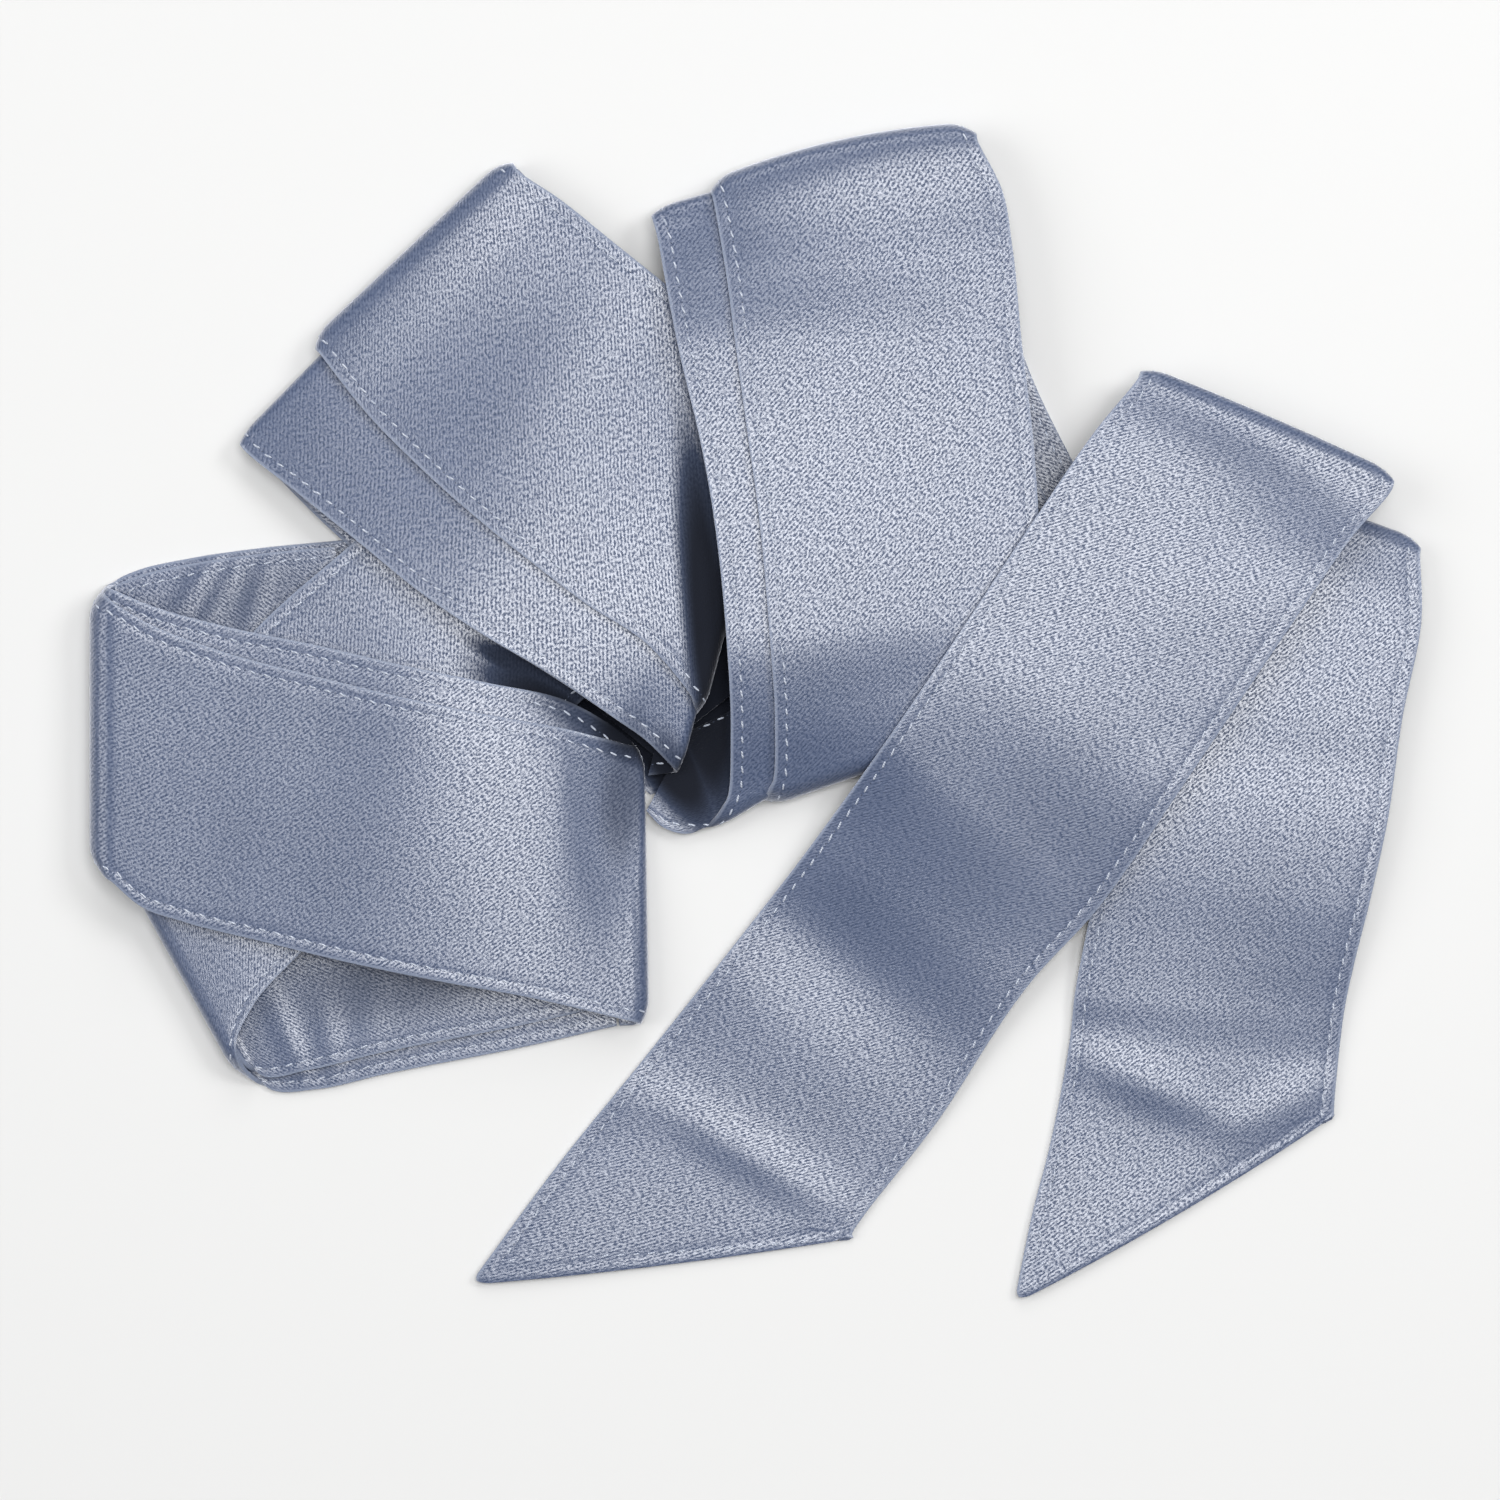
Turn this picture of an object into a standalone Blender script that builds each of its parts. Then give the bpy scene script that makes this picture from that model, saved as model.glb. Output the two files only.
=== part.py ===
"""A satin dress sash, laid on a flat surface in loose, unpressed fan folds.

The sash is one long narrow tie of two plies of heavy satin, sewn together. It is doubled on itself, so
most stretches show two layers. Each stretch that shows is one solid: a wall that follows a table of
section lines. A section line crosses the cloth from its near edge to its far edge, and a turn between
two sections is a soft half round, as high as the two layers that it joins are apart.

Lengths in the tables are millimetres, angles are degrees, X runs right, Y runs away and Z runs up.
"""

import math
from collections import namedtuple

import bmesh
import bpy
from mathutils import Vector

MM = 0.001

# Driving sizes
SASH_WIDTH = 54.0
WALL = 1.2
SEAM_GAP = 0.3
LAYER = WALL + SEAM_GAP
STATION = 6.5
CELLS_ACROSS = 3
TURN_STEPS = 8
# The layer beneath bows less than the one around it
INNER_BOW = 0.3

# The middle of the heap in the tables' own frame, which becomes the origin
HEAP_CENTRE = (1.3, 7.25)

# Heights of a wall's middle when it is the lowest, the second lowest and so on
FLOOR = WALL / 2
SECOND = FLOOR + LAYER
THIRD = SECOND + LAYER
FOURTH = THIRD + LAYER
FIFTH = FOURTH + LAYER

# x, y, z: the near end of the section line. fall: how much lower its far end is.
# heading: the way the cloth runs. toward: the way the section line points.
# near_in, far_in: how far the layer beneath starts and ends along that line.
# pull: how far back from its turn the layer beneath turns. width: what lies flat of the sash's width.
# bow: how far the section line's middle lies ahead of its ends.
Section = namedtuple("Section", "x y z fall heading toward near_in far_in pull bow width")
TURN = "turn"


def section(x, y, z, heading, toward, fall=0.0, near_in=0.0, far_in=0.0, pull=0.0, bow=0.0, width=SASH_WIDTH):
    """One row of a table."""
    return Section(x, y, z, fall, heading, toward, near_in, far_in, pull, bow, width)


# The left loop, from the layers under it, round its left turn, over the top and round its right turn
LEFT_LOOP = [
    section(-72.0, 43.2, FLOOR, 186, 281, width=47),
    section(-83.6, 42.0, FLOOR, 189, 281, near_in=1.2, width=47),
    section(-96.4, 40.8, FLOOR, 189, 279, near_in=1.2, width=49),
    section(-114.2, 38.2, FLOOR, 189, 277, near_in=1.2, width=53),
    section(-122.2, 36.4, FLOOR, 193, 274, near_in=1.2),
    section(-127.2, 34.2, FLOOR, 195, 270, near_in=1.0, far_in=-0.5),
    TURN,
    section(-127.2, 29.6, 9.5, -15, 270, near_in=-2.4, far_in=-2.0),
    section(-120.2, 25.4, 9.5, -18, 268, near_in=-3.6, far_in=-3.6),
    section(-105.6, 19.8, 9.5, -16, 263, near_in=-5.0, far_in=-5.0),
    section(-88.4, 15.2, 9.6, -13, 260, near_in=-6.0, far_in=-6.0),
    section(-71.2, 11.0, 9.6, -12.5, 260, near_in=-6.2, far_in=-6.2),
    section(-53.0, 7.2, 9.3, -12, 261, near_in=-6.2, far_in=-6.2),
    section(-37.6, 4.4, 8.4, -11.5, 264, near_in=-5.6, far_in=-5.6),
    section(-24.2, 1.0, 5.6, -12, 271, near_in=-1.0, far_in=-4.0),
    TURN,
    section(-24.2, 0.2, FLOOR, 194, 271, near_in=-0.5, far_in=-4.4),
    section(-31.0, -1.2, FLOOR, 192, 275, far_in=-4.4),
]

# The low band, from the right turn to the bottom left turn, and the crossing band that leaves it
LOW_BAND = [
    section(-31.5, -1.3, FLOOR, 191, 275, far_in=-4.4),
    section(-55.5, -8.0, FLOOR, 191, 281, far_in=-4.4, width=52.6),
    section(-84.9, -15.4, FLOOR, 191, 283, far_in=-4.4, width=51),
    section(-104.0, -22.0, FLOOR, 191, 290, far_in=-4.2, width=48.5),
    section(-119.5, -27.0, FLOOR, 191, 299, far_in=-3.2, width=44.5),
    TURN,
    section(-126.0, -17.6, 6.5, 47, 298.7, near_in=1.0, width=46),
    section(-121.0, -6.0, 6.4, 49, 295, near_in=1.0, width=46),
    section(-112.0, 8.0, 5.9, 49, 294, width=48.5),
    section(-99.2, 23.8, FOURTH, 45, 302, width=53.5),
    section(-78.6, 42.2, FOURTH, 41.8, 311.8),
    section(-66.0, 53.5, FOURTH, 41.8, 311.8),
]

# The top left loop, from the layers under it, round its top left turn, over the top and round its end
UPPER_LOOP = [
    section(-12.9, 3.95, FLOOR, 128, 38, near_in=-8.0, far_in=-6.0, width=44),
    section(-28.2, 24.5, FLOOR, 136, 46, near_in=-15.0, far_in=-9.0, width=33),
    section(-44.0, 39.7, FLOOR, 136, 46, near_in=-22.0, far_in=-20.0, width=42),
    section(-66.0, 60.8, FLOOR, 136, 45, near_in=-24.5, far_in=-24.2, width=50),
    section(-85.9, 79.7, FLOOR, 136, 43.3, near_in=-24.2, far_in=-24.2, pull=2.9, width=53.9),
    TURN,
    section(-85.9, 79.1, 6.6, -48, 43.3, near_in=-24.2, far_in=-24.2, pull=2.9, width=53.9),
    section(-76.8, 67.5, 7.6, -47, 47.2, fall=1.6, near_in=-21.2, far_in=-21.2, width=57.5),
    section(-66.4, 56.9, 8.6, -46, 49.4, fall=2.8, near_in=-19.4, far_in=-19.4, width=59),
    section(-54.0, 45.8, 9.4, -42, 51.6, fall=3.6, near_in=-18.6, far_in=-18.6, width=60),
    section(-43.8, 37.6, 10.0, -40, 53.0, fall=3.8, near_in=-17.5, far_in=-17.5, width=60),
    section(-32.8, 29.2, 10.4, -38, 56.7, fall=3.4, near_in=-15.8, far_in=-15.8, width=57.5),
    section(-20.2, 20.8, 10.4, -44, 64.2, fall=2.4, near_in=-16.0, far_in=-16.0, width=52),
    section(-15.2, 15.4, 10.0, -50, 69.4, fall=1.4, near_in=-14.8, far_in=-14.8, width=47.5),
    section(-11.6, 10.4, 9.2, -55, 75.1, fall=0.4, near_in=-14.5, far_in=-12.0, width=41),
    TURN,
    section(-13.1, 5.6, THIRD, 190, 75.1, near_in=-10.5, far_in=-10.0, width=48),
    section(-18.0, 4.6, THIRD, 190, 76.0, near_in=-10.0, far_in=-10.0, width=48),
]

# The middle loop, from the layers under it, round its top turn, over the top and round its bottom turn
MIDDLE_LOOP = [
    section(10.2, 48.0, FLOOR, 115, 0, near_in=-9.0, far_in=-9.0),
    section(0.1, 73.8, FLOOR, 107, 8, near_in=-10.0, far_in=-10.0),
    section(-3.5, 94.7, FLOOR, 100, 11, near_in=-11.5, far_in=-11.5, bow=1.6),
    section(-7.4, 110.0, FLOOR, 102, 12.5, near_in=-12.6, far_in=-12.6, pull=1.5, bow=2.4),
    TURN,
    section(-7.4, 110.0, 7.6, -78, 12.5, near_in=-12.6, far_in=-12.6, pull=1.5, bow=-2.4),
    section(-6.3, 104.0, 8.8, -80, 8.0, fall=0.4, near_in=-12.3, far_in=-12.3, bow=-1.6, width=57),
    section(-4.8, 95.0, 10.8, -81, 5.0, fall=1.2, near_in=-12.2, far_in=-12.2, width=57.2),
    section(-2.8, 79.6, 12.8, -82, 2.2, fall=2.4, near_in=-11.3, far_in=-11.3, width=56.6),
    section(-0.4, 62.0, 13.6, -83, 1.0, fall=3.3, near_in=-9.6, far_in=-9.6, width=56.4),
    section(1.8, 46.0, 13.6, -84, -1.0, fall=3.7, near_in=-9.0, far_in=-9.0, width=55.4),
    section(3.8, 23.8, 13.0, -87, 4.0, fall=3.8, near_in=-8.6, far_in=-8.6, width=55),
    section(5.0, 5.0, 10.4, -90, 13.6, fall=1.8, near_in=-9.1, far_in=-9.1, width=53.6),
    section(4.6, -6.4, 8.6, -95, 19.0, fall=0.6, near_in=-9.6, far_in=-9.6),
    TURN,
    section(-1.1, -8.4, FLOOR, 130, 19.0, width=50.4),
    section(-7.0, -3.6, FLOOR, 130, 28.0, width=50),
    section(-12.6, 3.6, FLOOR, 134, 38.0, width=45),
]

# What the layer beneath does instead after the last turn of the middle loop
MIDDLE_LOOP_INNER_END = [
    section(-11.4, -16.6, SECOND, 160, 45.0, width=47),
    section(-17.6, -15.4, SECOND, 155, 52.0, width=33),
    section(-20.8, -12.2, SECOND, 150, 62.0, width=18),
]

# The upper tail, from its short layer beneath, round its top turn and down to its point
UPPER_TAIL = [
    section(67.0, 54.6, FIFTH, 61, -30, width=49.5),
    section(77.6, 74.3, FIFTH, 66, -23.2, bow=0.5),
    TURN,
    section(77.6, 74.5, 11.0, 235, -23.2, bow=-0.5),
    section(69.4, 64.4, 11.6, 235, -23.7, fall=0.4),
    section(57.6, 47.4, 12.0, 235, -25.9, fall=1.2),
    section(42.0, 23.8, 12.0, 236, -33.7, fall=2.6),
    section(28.0, 3.0, 10.4, 234, -39.2, fall=4.6),
    section(13.8, -17.0, 5.6, 232.5, -36.0, fall=1.8, width=51.6),
    section(-4.8, -41.2, 1.9, 231.5, -38.7, fall=0.6),
    section(-23.4, -64.6, FLOOR, 230.5, -30.0),
    section(-38.0, -82.6, FLOOR, 230, -13.3),
    section(-56.4, -107.4, FLOOR, 230.5, 6.9, bow=0.8, width=53.6),
]

# The lower tail, from its short layer beneath, round its top turn and down to its point
LOWER_TAIL = [
    section(72.7, 47.2, FLOOR, 59, -20, width=55),
    section(80.8, 59.0, FLOOR, 59, -20, width=55),
    TURN,
    section(81.4, 58.6, FOURTH, 261, -20, width=55.2),
    section(81.0, 39.4, FOURTH, 263, -14, width=54.6),
    section(77.1, 14.2, FOURTH, 262, -9),
    section(74.3, -5.6, 4.8, 261, -9),
    section(71.0, -20.8, 4.0, 261, -10),
    section(67.4, -37.0, 2.6, 261, -6.4),
    section(65.2, -49.0, 1.4, 262, -4.1),
    section(64.2, -58.5, FLOOR, 262, -6.0),
    section(59.6, -82.2, FLOOR, 259, 10.6, width=54.6),
    section(57.0, -92.0, FLOOR, 258, 17.6, width=55),
    section(53.0, -111.2, FLOOR, 258, 30.4, bow=1.2, width=55.2),
]

# The layers that nothing shows: corners of each heap's outline, its lowest and highest level, corner radius
HIDDEN_MIDDLE = {"corners": [(12, 24), (50, 24), (48, 84), (4, 84)], "low": 3.0, "high": 6.9, "round": 9}
HIDDEN_RIGHT = {"corners": [(80, -6), (121, -8), (121, 30), (84, 32)], "low": 0.0, "high": 4.1, "round": 9}
EDGE_STEP = 0.5

# colour, roughness and metallic value of the dusty blue satin
SATIN = ((0.262, 0.305, 0.420, 1.0), 0.42, 0.0)


def unit(degrees):
    """The flat direction of an angle."""
    return Vector((math.cos(math.radians(degrees)), math.sin(math.radians(degrees)), 0.0))


def ends(row):
    """The near end, the far end and the bow of a section line."""
    lean = abs(math.sin(math.radians(row.toward - row.heading)))
    near = Vector((row.x, row.y, row.z))
    far = near + unit(row.toward) * (row.width / lean)
    far.z -= row.fall
    return near, far, ahead(row) * row.bow


def ahead(row):
    """The flat direction, square to a section line, in which the cloth runs."""
    square = unit(row.toward + 90)
    return square if square.dot(unit(row.heading)) > 0 else -square


def lines(table, inner=False, inner_end=()):
    """Every section line of a table with its turns worked out, for the outer layer or the one beneath."""
    rows = [row for row in table if row is not TURN]
    turns = [i - table[:i].count(TURN) for i, row in enumerate(table) if row is TURN]
    heights = [row.z for row in rows]
    own = len(rows) - len(inner_end) if inner else len(rows)
    found = []
    for index, row in enumerate(rows):
        near, far, bow = ends(row)
        if inner and index < own:
            along = (far - near) / (far - near).length
            back = ahead(row) if index in turns else -ahead(row)
            lift = Vector((0.0, 0.0, side(index, turns, heights) * LAYER))
            near = near + along * row.near_in + back * row.pull + lift
            far = far + along * row.far_in + back * row.pull * 0.25 + lift
            bow = bow * INNER_BOW
        elif inner:
            near, far, bow = ends(inner_end[index - own])
        if index in turns:
            found.extend(half_round(found[-1], (near, far, bow), ahead(rows[index - 1])))
        found.append((near, far, bow))
    return found


def side(index, turns, heights):
    """+1 on a layer that lies beneath its turn, -1 on one that lies on top: the inner layer goes between."""
    turn = min(turns, key=lambda place: abs(place - 0.5 - index))
    below, above = sorted((heights[turn - 1], heights[turn]))
    return 1 if abs(heights[index] - below) < abs(heights[index] - above) else -1


def half_round(start, end, out):
    """The section lines of a turn, between the two that it joins."""
    made = []
    for step in range(1, TURN_STEPS):
        share = step / TURN_STEPS
        angle = math.pi * share
        line = []
        for first, last in zip(start[:2], end[:2]):
            reach = abs(first.z - last.z) / 2
            point = first.lerp(last, share) + out * (reach * math.sin(angle))
            point.z = (first.z + last.z) / 2 + (first.z - last.z) / 2 * math.cos(angle)
            line.append(point)
        made.append((line[0], line[1], start[2].lerp(end[2], share)))
    return made


def slopes(knots, values, level):
    """The slope at each knot of a smooth curve. A level one never passes above or below its own knots."""
    steps = [(values[i + 1] - values[i]) / (knots[i + 1] - knots[i]) for i in range(len(knots) - 1)]
    found = [steps[0]]
    for i in range(1, len(steps)):
        before, after = knots[i] - knots[i - 1], knots[i + 1] - knots[i]
        if not level:
            found.append((steps[i - 1] * after + steps[i] * before) / (before + after))
        elif steps[i - 1] * steps[i] <= 0:
            found.append(0.0)
        else:
            found.append(2 * steps[i - 1] * steps[i] / (steps[i - 1] + steps[i]))
    return found + [steps[-1]]


def smooth_line(knots, points, places):
    """Points of the smooth curve through the given ones, at each place along it."""
    curves = []
    for axis in range(3):
        values = [point[axis] for point in points]
        curves.append((values, slopes(knots, values, level=axis == 2)))
    found = []
    for place in places:
        i = max(k for k in range(len(knots) - 1) if knots[k] <= place + 1e-9)
        span = knots[i + 1] - knots[i]
        t = (place - knots[i]) / span
        point = []
        for values, slope in curves:
            point.append(
                values[i] * (1 + 2 * t) * (1 - t) ** 2
                + values[i + 1] * t * t * (3 - 2 * t)
                + span * (slope[i] * t * (1 - t) ** 2 - slope[i + 1] * t * t * (1 - t))
            )
        found.append(Vector(point))
    return found


def middle_surface(found):
    """A grid of points down the middle of the wall: one list for each station along the sash."""
    knots = [0.0]
    for (near, far, _), (next_near, next_far, _) in zip(found, found[1:]):
        knots.append(knots[-1] + ((next_near - near).length + (next_far - far).length) / 2)
    places = []
    for start, end in zip(knots, knots[1:]):
        count = max(1, round((end - start) / STATION))
        places += [start + (end - start) * i / count for i in range(count)]
    places.append(knots[-1])
    near_line, far_line, bows = (smooth_line(knots, [line[k] for line in found], places) for k in range(3))
    grid = []
    for near, far, bow in zip(near_line, far_line, bows):
        row = []
        for i in range(CELLS_ACROSS + 1):
            t = i / CELLS_ACROSS
            point = near.lerp(far, t) + bow * (4 * t * (1 - t))
            point.z = max(point.z, FLOOR)
            row.append(point)
        grid.append(row)
    return grid


def surface_normal(grid, i, j):
    """The direction square to the grid at one of its points."""
    along = grid[min(i + 1, len(grid) - 1)][j] - grid[max(i - 1, 0)][j]
    across = grid[i][min(j + 1, CELLS_ACROSS)] - grid[i][max(j - 1, 0)]
    return along.cross(across).normalized()


def wall(name, found):
    """A stretch of the sash: a closed wall of two plies, half of it on each side of its middle surface."""
    grid = middle_surface(found)
    bottom = (HEAP_CENTRE[0], HEAP_CENTRE[1], 0.0)
    shell = bmesh.new()
    faces = []
    for half in (WALL / 2, -WALL / 2):
        rows = []
        for i, row in enumerate(grid):
            points = [point + surface_normal(grid, i, j) * half for j, point in enumerate(row)]
            rows.append([shell.verts.new((point - Vector(bottom)) * MM) for point in points])
        faces.append(rows)
    last = len(grid) - 1
    for rows in faces:
        for i in range(last):
            for j in range(CELLS_ACROSS):
                shell.faces.new((rows[i][j], rows[i + 1][j], rows[i + 1][j + 1], rows[i][j + 1]))
    above, below = faces
    for i in range(last):
        for j in (0, CELLS_ACROSS):
            shell.faces.new((above[i][j], above[i + 1][j], below[i + 1][j], below[i][j]))
    for j in range(CELLS_ACROSS):
        for i in (0, last):
            shell.faces.new((above[i][j], above[i][j + 1], below[i][j + 1], below[i][j]))
    bmesh.ops.recalc_face_normals(shell, faces=shell.faces)
    return finish(name, shell)


def rounded_outline(corners, radius, steps=6):
    """A flat outline with its corners rounded off by quadratic curves."""
    found = []
    for i, corner in enumerate(corners):
        here = Vector((*corner, 0.0))
        before = Vector((*corners[i - 1], 0.0))
        after = Vector((*corners[(i + 1) % len(corners)], 0.0))
        start = here + (before - here).normalized() * radius
        end = here + (after - here).normalized() * radius
        for step in range(steps + 1):
            t = step / steps
            found.append(start.lerp(here, t).lerp(here.lerp(end, t), t))
    return found


def heap(name, corners, low, high, **sizes):
    """The hidden layers of a heap: one rounded solid, its edge stepped in between one layer and the next."""
    outline = rounded_outline(corners, sizes["round"])
    centre = sum(outline, Vector()) / len(outline)
    count = round((high - low + SEAM_GAP) / LAYER)
    rise = (high - low + SEAM_GAP) / count
    levels = []
    for layer in range(count):
        base = low + layer * rise
        edge = SEAM_GAP
        levels += [(base, EDGE_STEP), (base + edge, 0.0), (base + rise - 2 * edge, 0.0), (base + rise - edge, EDGE_STEP)]
    solid = bmesh.new()
    rings = []
    for height, inset in levels:
        ring = []
        for point in outline:
            moved = point - (point - centre).normalized() * inset
            place = Vector((moved.x - HEAP_CENTRE[0], moved.y - HEAP_CENTRE[1], height))
            ring.append(solid.verts.new(place * MM))
        rings.append(ring)
    size = len(outline)
    for lower, upper in zip(rings, rings[1:]):
        for i in range(size):
            solid.faces.new((lower[i], lower[(i + 1) % size], upper[(i + 1) % size], upper[i]))
    solid.faces.new(rings[0])
    solid.faces.new(rings[-1])
    bmesh.ops.recalc_face_normals(solid, faces=solid.faces)
    return finish(name, solid)


def satin(name):
    """The dusty blue satin, one material for each piece."""
    colour, roughness, metallic = SATIN
    material = bpy.data.materials.new(name)
    material.use_nodes = True
    shader = material.node_tree.nodes["Principled BSDF"]
    shader.inputs["Base Color"].default_value = colour
    shader.inputs["Roughness"].default_value = roughness
    shader.inputs["Metallic"].default_value = metallic
    material.diffuse_color = colour
    return material


def finish(name, shape):
    """Makes the object of a shape, shades it smooth and gives it its satin."""
    mesh = bpy.data.meshes.new(name)
    shape.to_mesh(mesh)
    shape.free()
    mesh.shade_smooth()
    mesh.set_sharp_from_angle(angle=math.radians(50))
    mesh.materials.append(satin(name + "_satin"))
    piece = bpy.data.objects.new(name, mesh)
    bpy.context.scene.collection.objects.link(piece)
    return piece


def main():
    for old in list(bpy.data.objects):
        bpy.data.objects.remove(old, do_unlink=True)
    wall("left_loop_outer", lines(LEFT_LOOP))
    wall("left_loop_inner", lines(LEFT_LOOP[1:], inner=True))
    wall("low_band_outer", lines(LOW_BAND))
    wall("low_band_inner", lines(LOW_BAND, inner=True))
    wall("upper_loop_outer", lines(UPPER_LOOP))
    wall("upper_loop_inner", lines(UPPER_LOOP, inner=True))
    wall("middle_loop_outer", lines(MIDDLE_LOOP))
    wall("middle_loop_inner", lines(MIDDLE_LOOP, inner=True, inner_end=MIDDLE_LOOP_INNER_END))
    wall("tail_upper", lines(UPPER_TAIL))
    wall("tail_lower", lines(LOWER_TAIL))
    heap("hidden_folds_middle", **HIDDEN_MIDDLE)
    heap("hidden_folds_right", **HIDDEN_RIGHT)


main()
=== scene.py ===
# %% [markdown]
# # A satin sash, laid in loose folds
#
# A dress sash is one long narrow tie: two plies of heavy satin, sewn face to face, turned right side out and
# topstitched all round. This one is doubled on itself and laid down in loose fan folds, so nearly every
# stretch shows two layers, and its two slanting ends run out to the lower right.
#
# The solids of the sash are already settled. This lesson loads them as a fixed frame, and dresses each
# stretch with a finer sheet of cloth: plump turned edges, a row of running stitches, and a satin that
# catches the light. The sheets follow the same section tables as the solids, in millimetres.

# %% Load the fixed frame
import math
from collections import namedtuple

import bmesh
import bpy
import numpy as np
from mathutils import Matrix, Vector, noise


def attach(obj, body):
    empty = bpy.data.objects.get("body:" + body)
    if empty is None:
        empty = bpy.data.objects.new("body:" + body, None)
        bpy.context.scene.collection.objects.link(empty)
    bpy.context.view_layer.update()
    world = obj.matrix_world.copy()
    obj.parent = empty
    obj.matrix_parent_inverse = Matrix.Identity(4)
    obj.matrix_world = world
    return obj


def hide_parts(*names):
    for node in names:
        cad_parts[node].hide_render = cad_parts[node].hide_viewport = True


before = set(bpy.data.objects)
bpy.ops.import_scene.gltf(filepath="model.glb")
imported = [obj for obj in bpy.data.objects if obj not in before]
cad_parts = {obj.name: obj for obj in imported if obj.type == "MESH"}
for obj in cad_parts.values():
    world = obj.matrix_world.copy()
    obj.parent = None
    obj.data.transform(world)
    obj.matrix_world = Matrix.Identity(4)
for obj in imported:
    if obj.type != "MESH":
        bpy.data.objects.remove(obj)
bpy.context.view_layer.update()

# %% [markdown]
# ## Sizes
#
# The frame's own sizes come first. The wall is two plies with their seam allowances between them, and two
# layers of the sash that lie on each other are a wall and a small gap apart. The heap's middle is where the
# tables' own origin, the middle of the picture, lies from the frame's origin.

# %% Driving sizes, in millimetres
MM = 0.001
SASH_WIDTH = 54.0
WALL = 1.2
LAYER = 1.5
TURN_STEPS = 8
INNER_BOW = 0.3
HEAP_CENTRE = Vector((1.3, 7.25, 0.0))
FLOOR = WALL / 2
SECOND = FLOOR + LAYER
THIRD = SECOND + LAYER
FOURTH = THIRD + LAYER
FIFTH = FOURTH + LAYER
STITCH_INSET = 2.3
STITCH_PITCH = 3.1
print("The sash is", SASH_WIDTH, "mm wide, and its wall", WALL, "mm thick")

# %% [markdown]
# ## Section lines
#
# Folded cloth is easy to describe by the lines that cross it from one edge to the other. Each row of a
# table gives one such line: where its near end is, the way the cloth runs there, and the way the line
# points. The width that lies flat then gives its far end. The layer beneath starts and ends a little
# further along the same line. A row that says TURN makes a soft half round between its two neighbours.

# %% A row of a table
Section = namedtuple("Section", "x y z fall heading toward near_in far_in pull bow width")
TURN = "turn"


def section(x, y, z, heading, toward, fall=0.0, near_in=0.0, far_in=0.0, pull=0.0, bow=0.0, width=SASH_WIDTH):
    """One row of a table."""
    return Section(x, y, z, fall, heading, toward, near_in, far_in, pull, bow, width)


# %% The left loop: under it, round its left turn, over the top and round its right turn
LEFT_LOOP = [
    section(-72.0, 43.2, FLOOR, 186, 281, width=47),
    section(-83.6, 42.0, FLOOR, 189, 281, near_in=1.2, width=47),
    section(-96.4, 40.8, FLOOR, 189, 279, near_in=1.2, width=49),
    section(-114.2, 38.2, FLOOR, 189, 277, near_in=1.2, width=53),
    section(-122.2, 36.4, FLOOR, 193, 274, near_in=1.2),
    section(-127.2, 34.2, FLOOR, 195, 270, near_in=1.0, far_in=-0.5),
    TURN,
    section(-127.2, 29.6, 9.5, -15, 270, near_in=-2.4, far_in=-2.0),
    section(-120.2, 25.4, 9.5, -18, 268, near_in=-3.6, far_in=-3.6),
    section(-105.6, 19.8, 9.5, -16, 263, near_in=-5.0, far_in=-5.0),
    section(-88.4, 15.2, 9.6, -13, 260, near_in=-6.0, far_in=-6.0),
    section(-71.2, 11.0, 9.6, -12.5, 260, near_in=-6.2, far_in=-6.2),
    section(-53.0, 7.2, 9.3, -12, 261, near_in=-6.2, far_in=-6.2),
    section(-37.6, 4.4, 8.4, -11.5, 264, near_in=-5.6, far_in=-5.6),
    section(-24.2, 1.0, 5.6, -12, 271, near_in=-1.0, far_in=-4.0),
    TURN,
    section(-24.2, 0.2, FLOOR, 194, 271, near_in=-0.5, far_in=-4.4),
    section(-31.0, -1.2, FLOOR, 192, 275, far_in=-4.4),
]
print("The left loop has", len(LEFT_LOOP), "rows")

# %% The low band, its bottom left turn and the crossing band that leaves it
LOW_BAND = [
    section(-31.5, -1.3, FLOOR, 191, 275, far_in=-4.4),
    section(-55.5, -8.0, FLOOR, 191, 281, far_in=-4.4, width=52.6),
    section(-84.9, -15.4, FLOOR, 191, 283, far_in=-4.4, width=51),
    section(-104.0, -22.0, FLOOR, 191, 290, far_in=-4.2, width=48.5),
    section(-119.5, -27.0, FLOOR, 191, 299, far_in=-3.2, width=44.5),
    TURN,
    section(-126.0, -17.6, 6.5, 47, 298.7, near_in=1.0, width=46),
    section(-121.0, -6.0, 6.4, 49, 295, near_in=1.0, width=46),
    section(-112.0, 8.0, 5.9, 49, 294, width=48.5),
    section(-99.2, 23.8, FOURTH, 45, 302, width=53.5),
    section(-78.6, 42.2, FOURTH, 41.8, 311.8),
    section(-66.0, 53.5, FOURTH, 41.8, 311.8),
]
print("The low band has", len(LOW_BAND), "rows")

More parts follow.
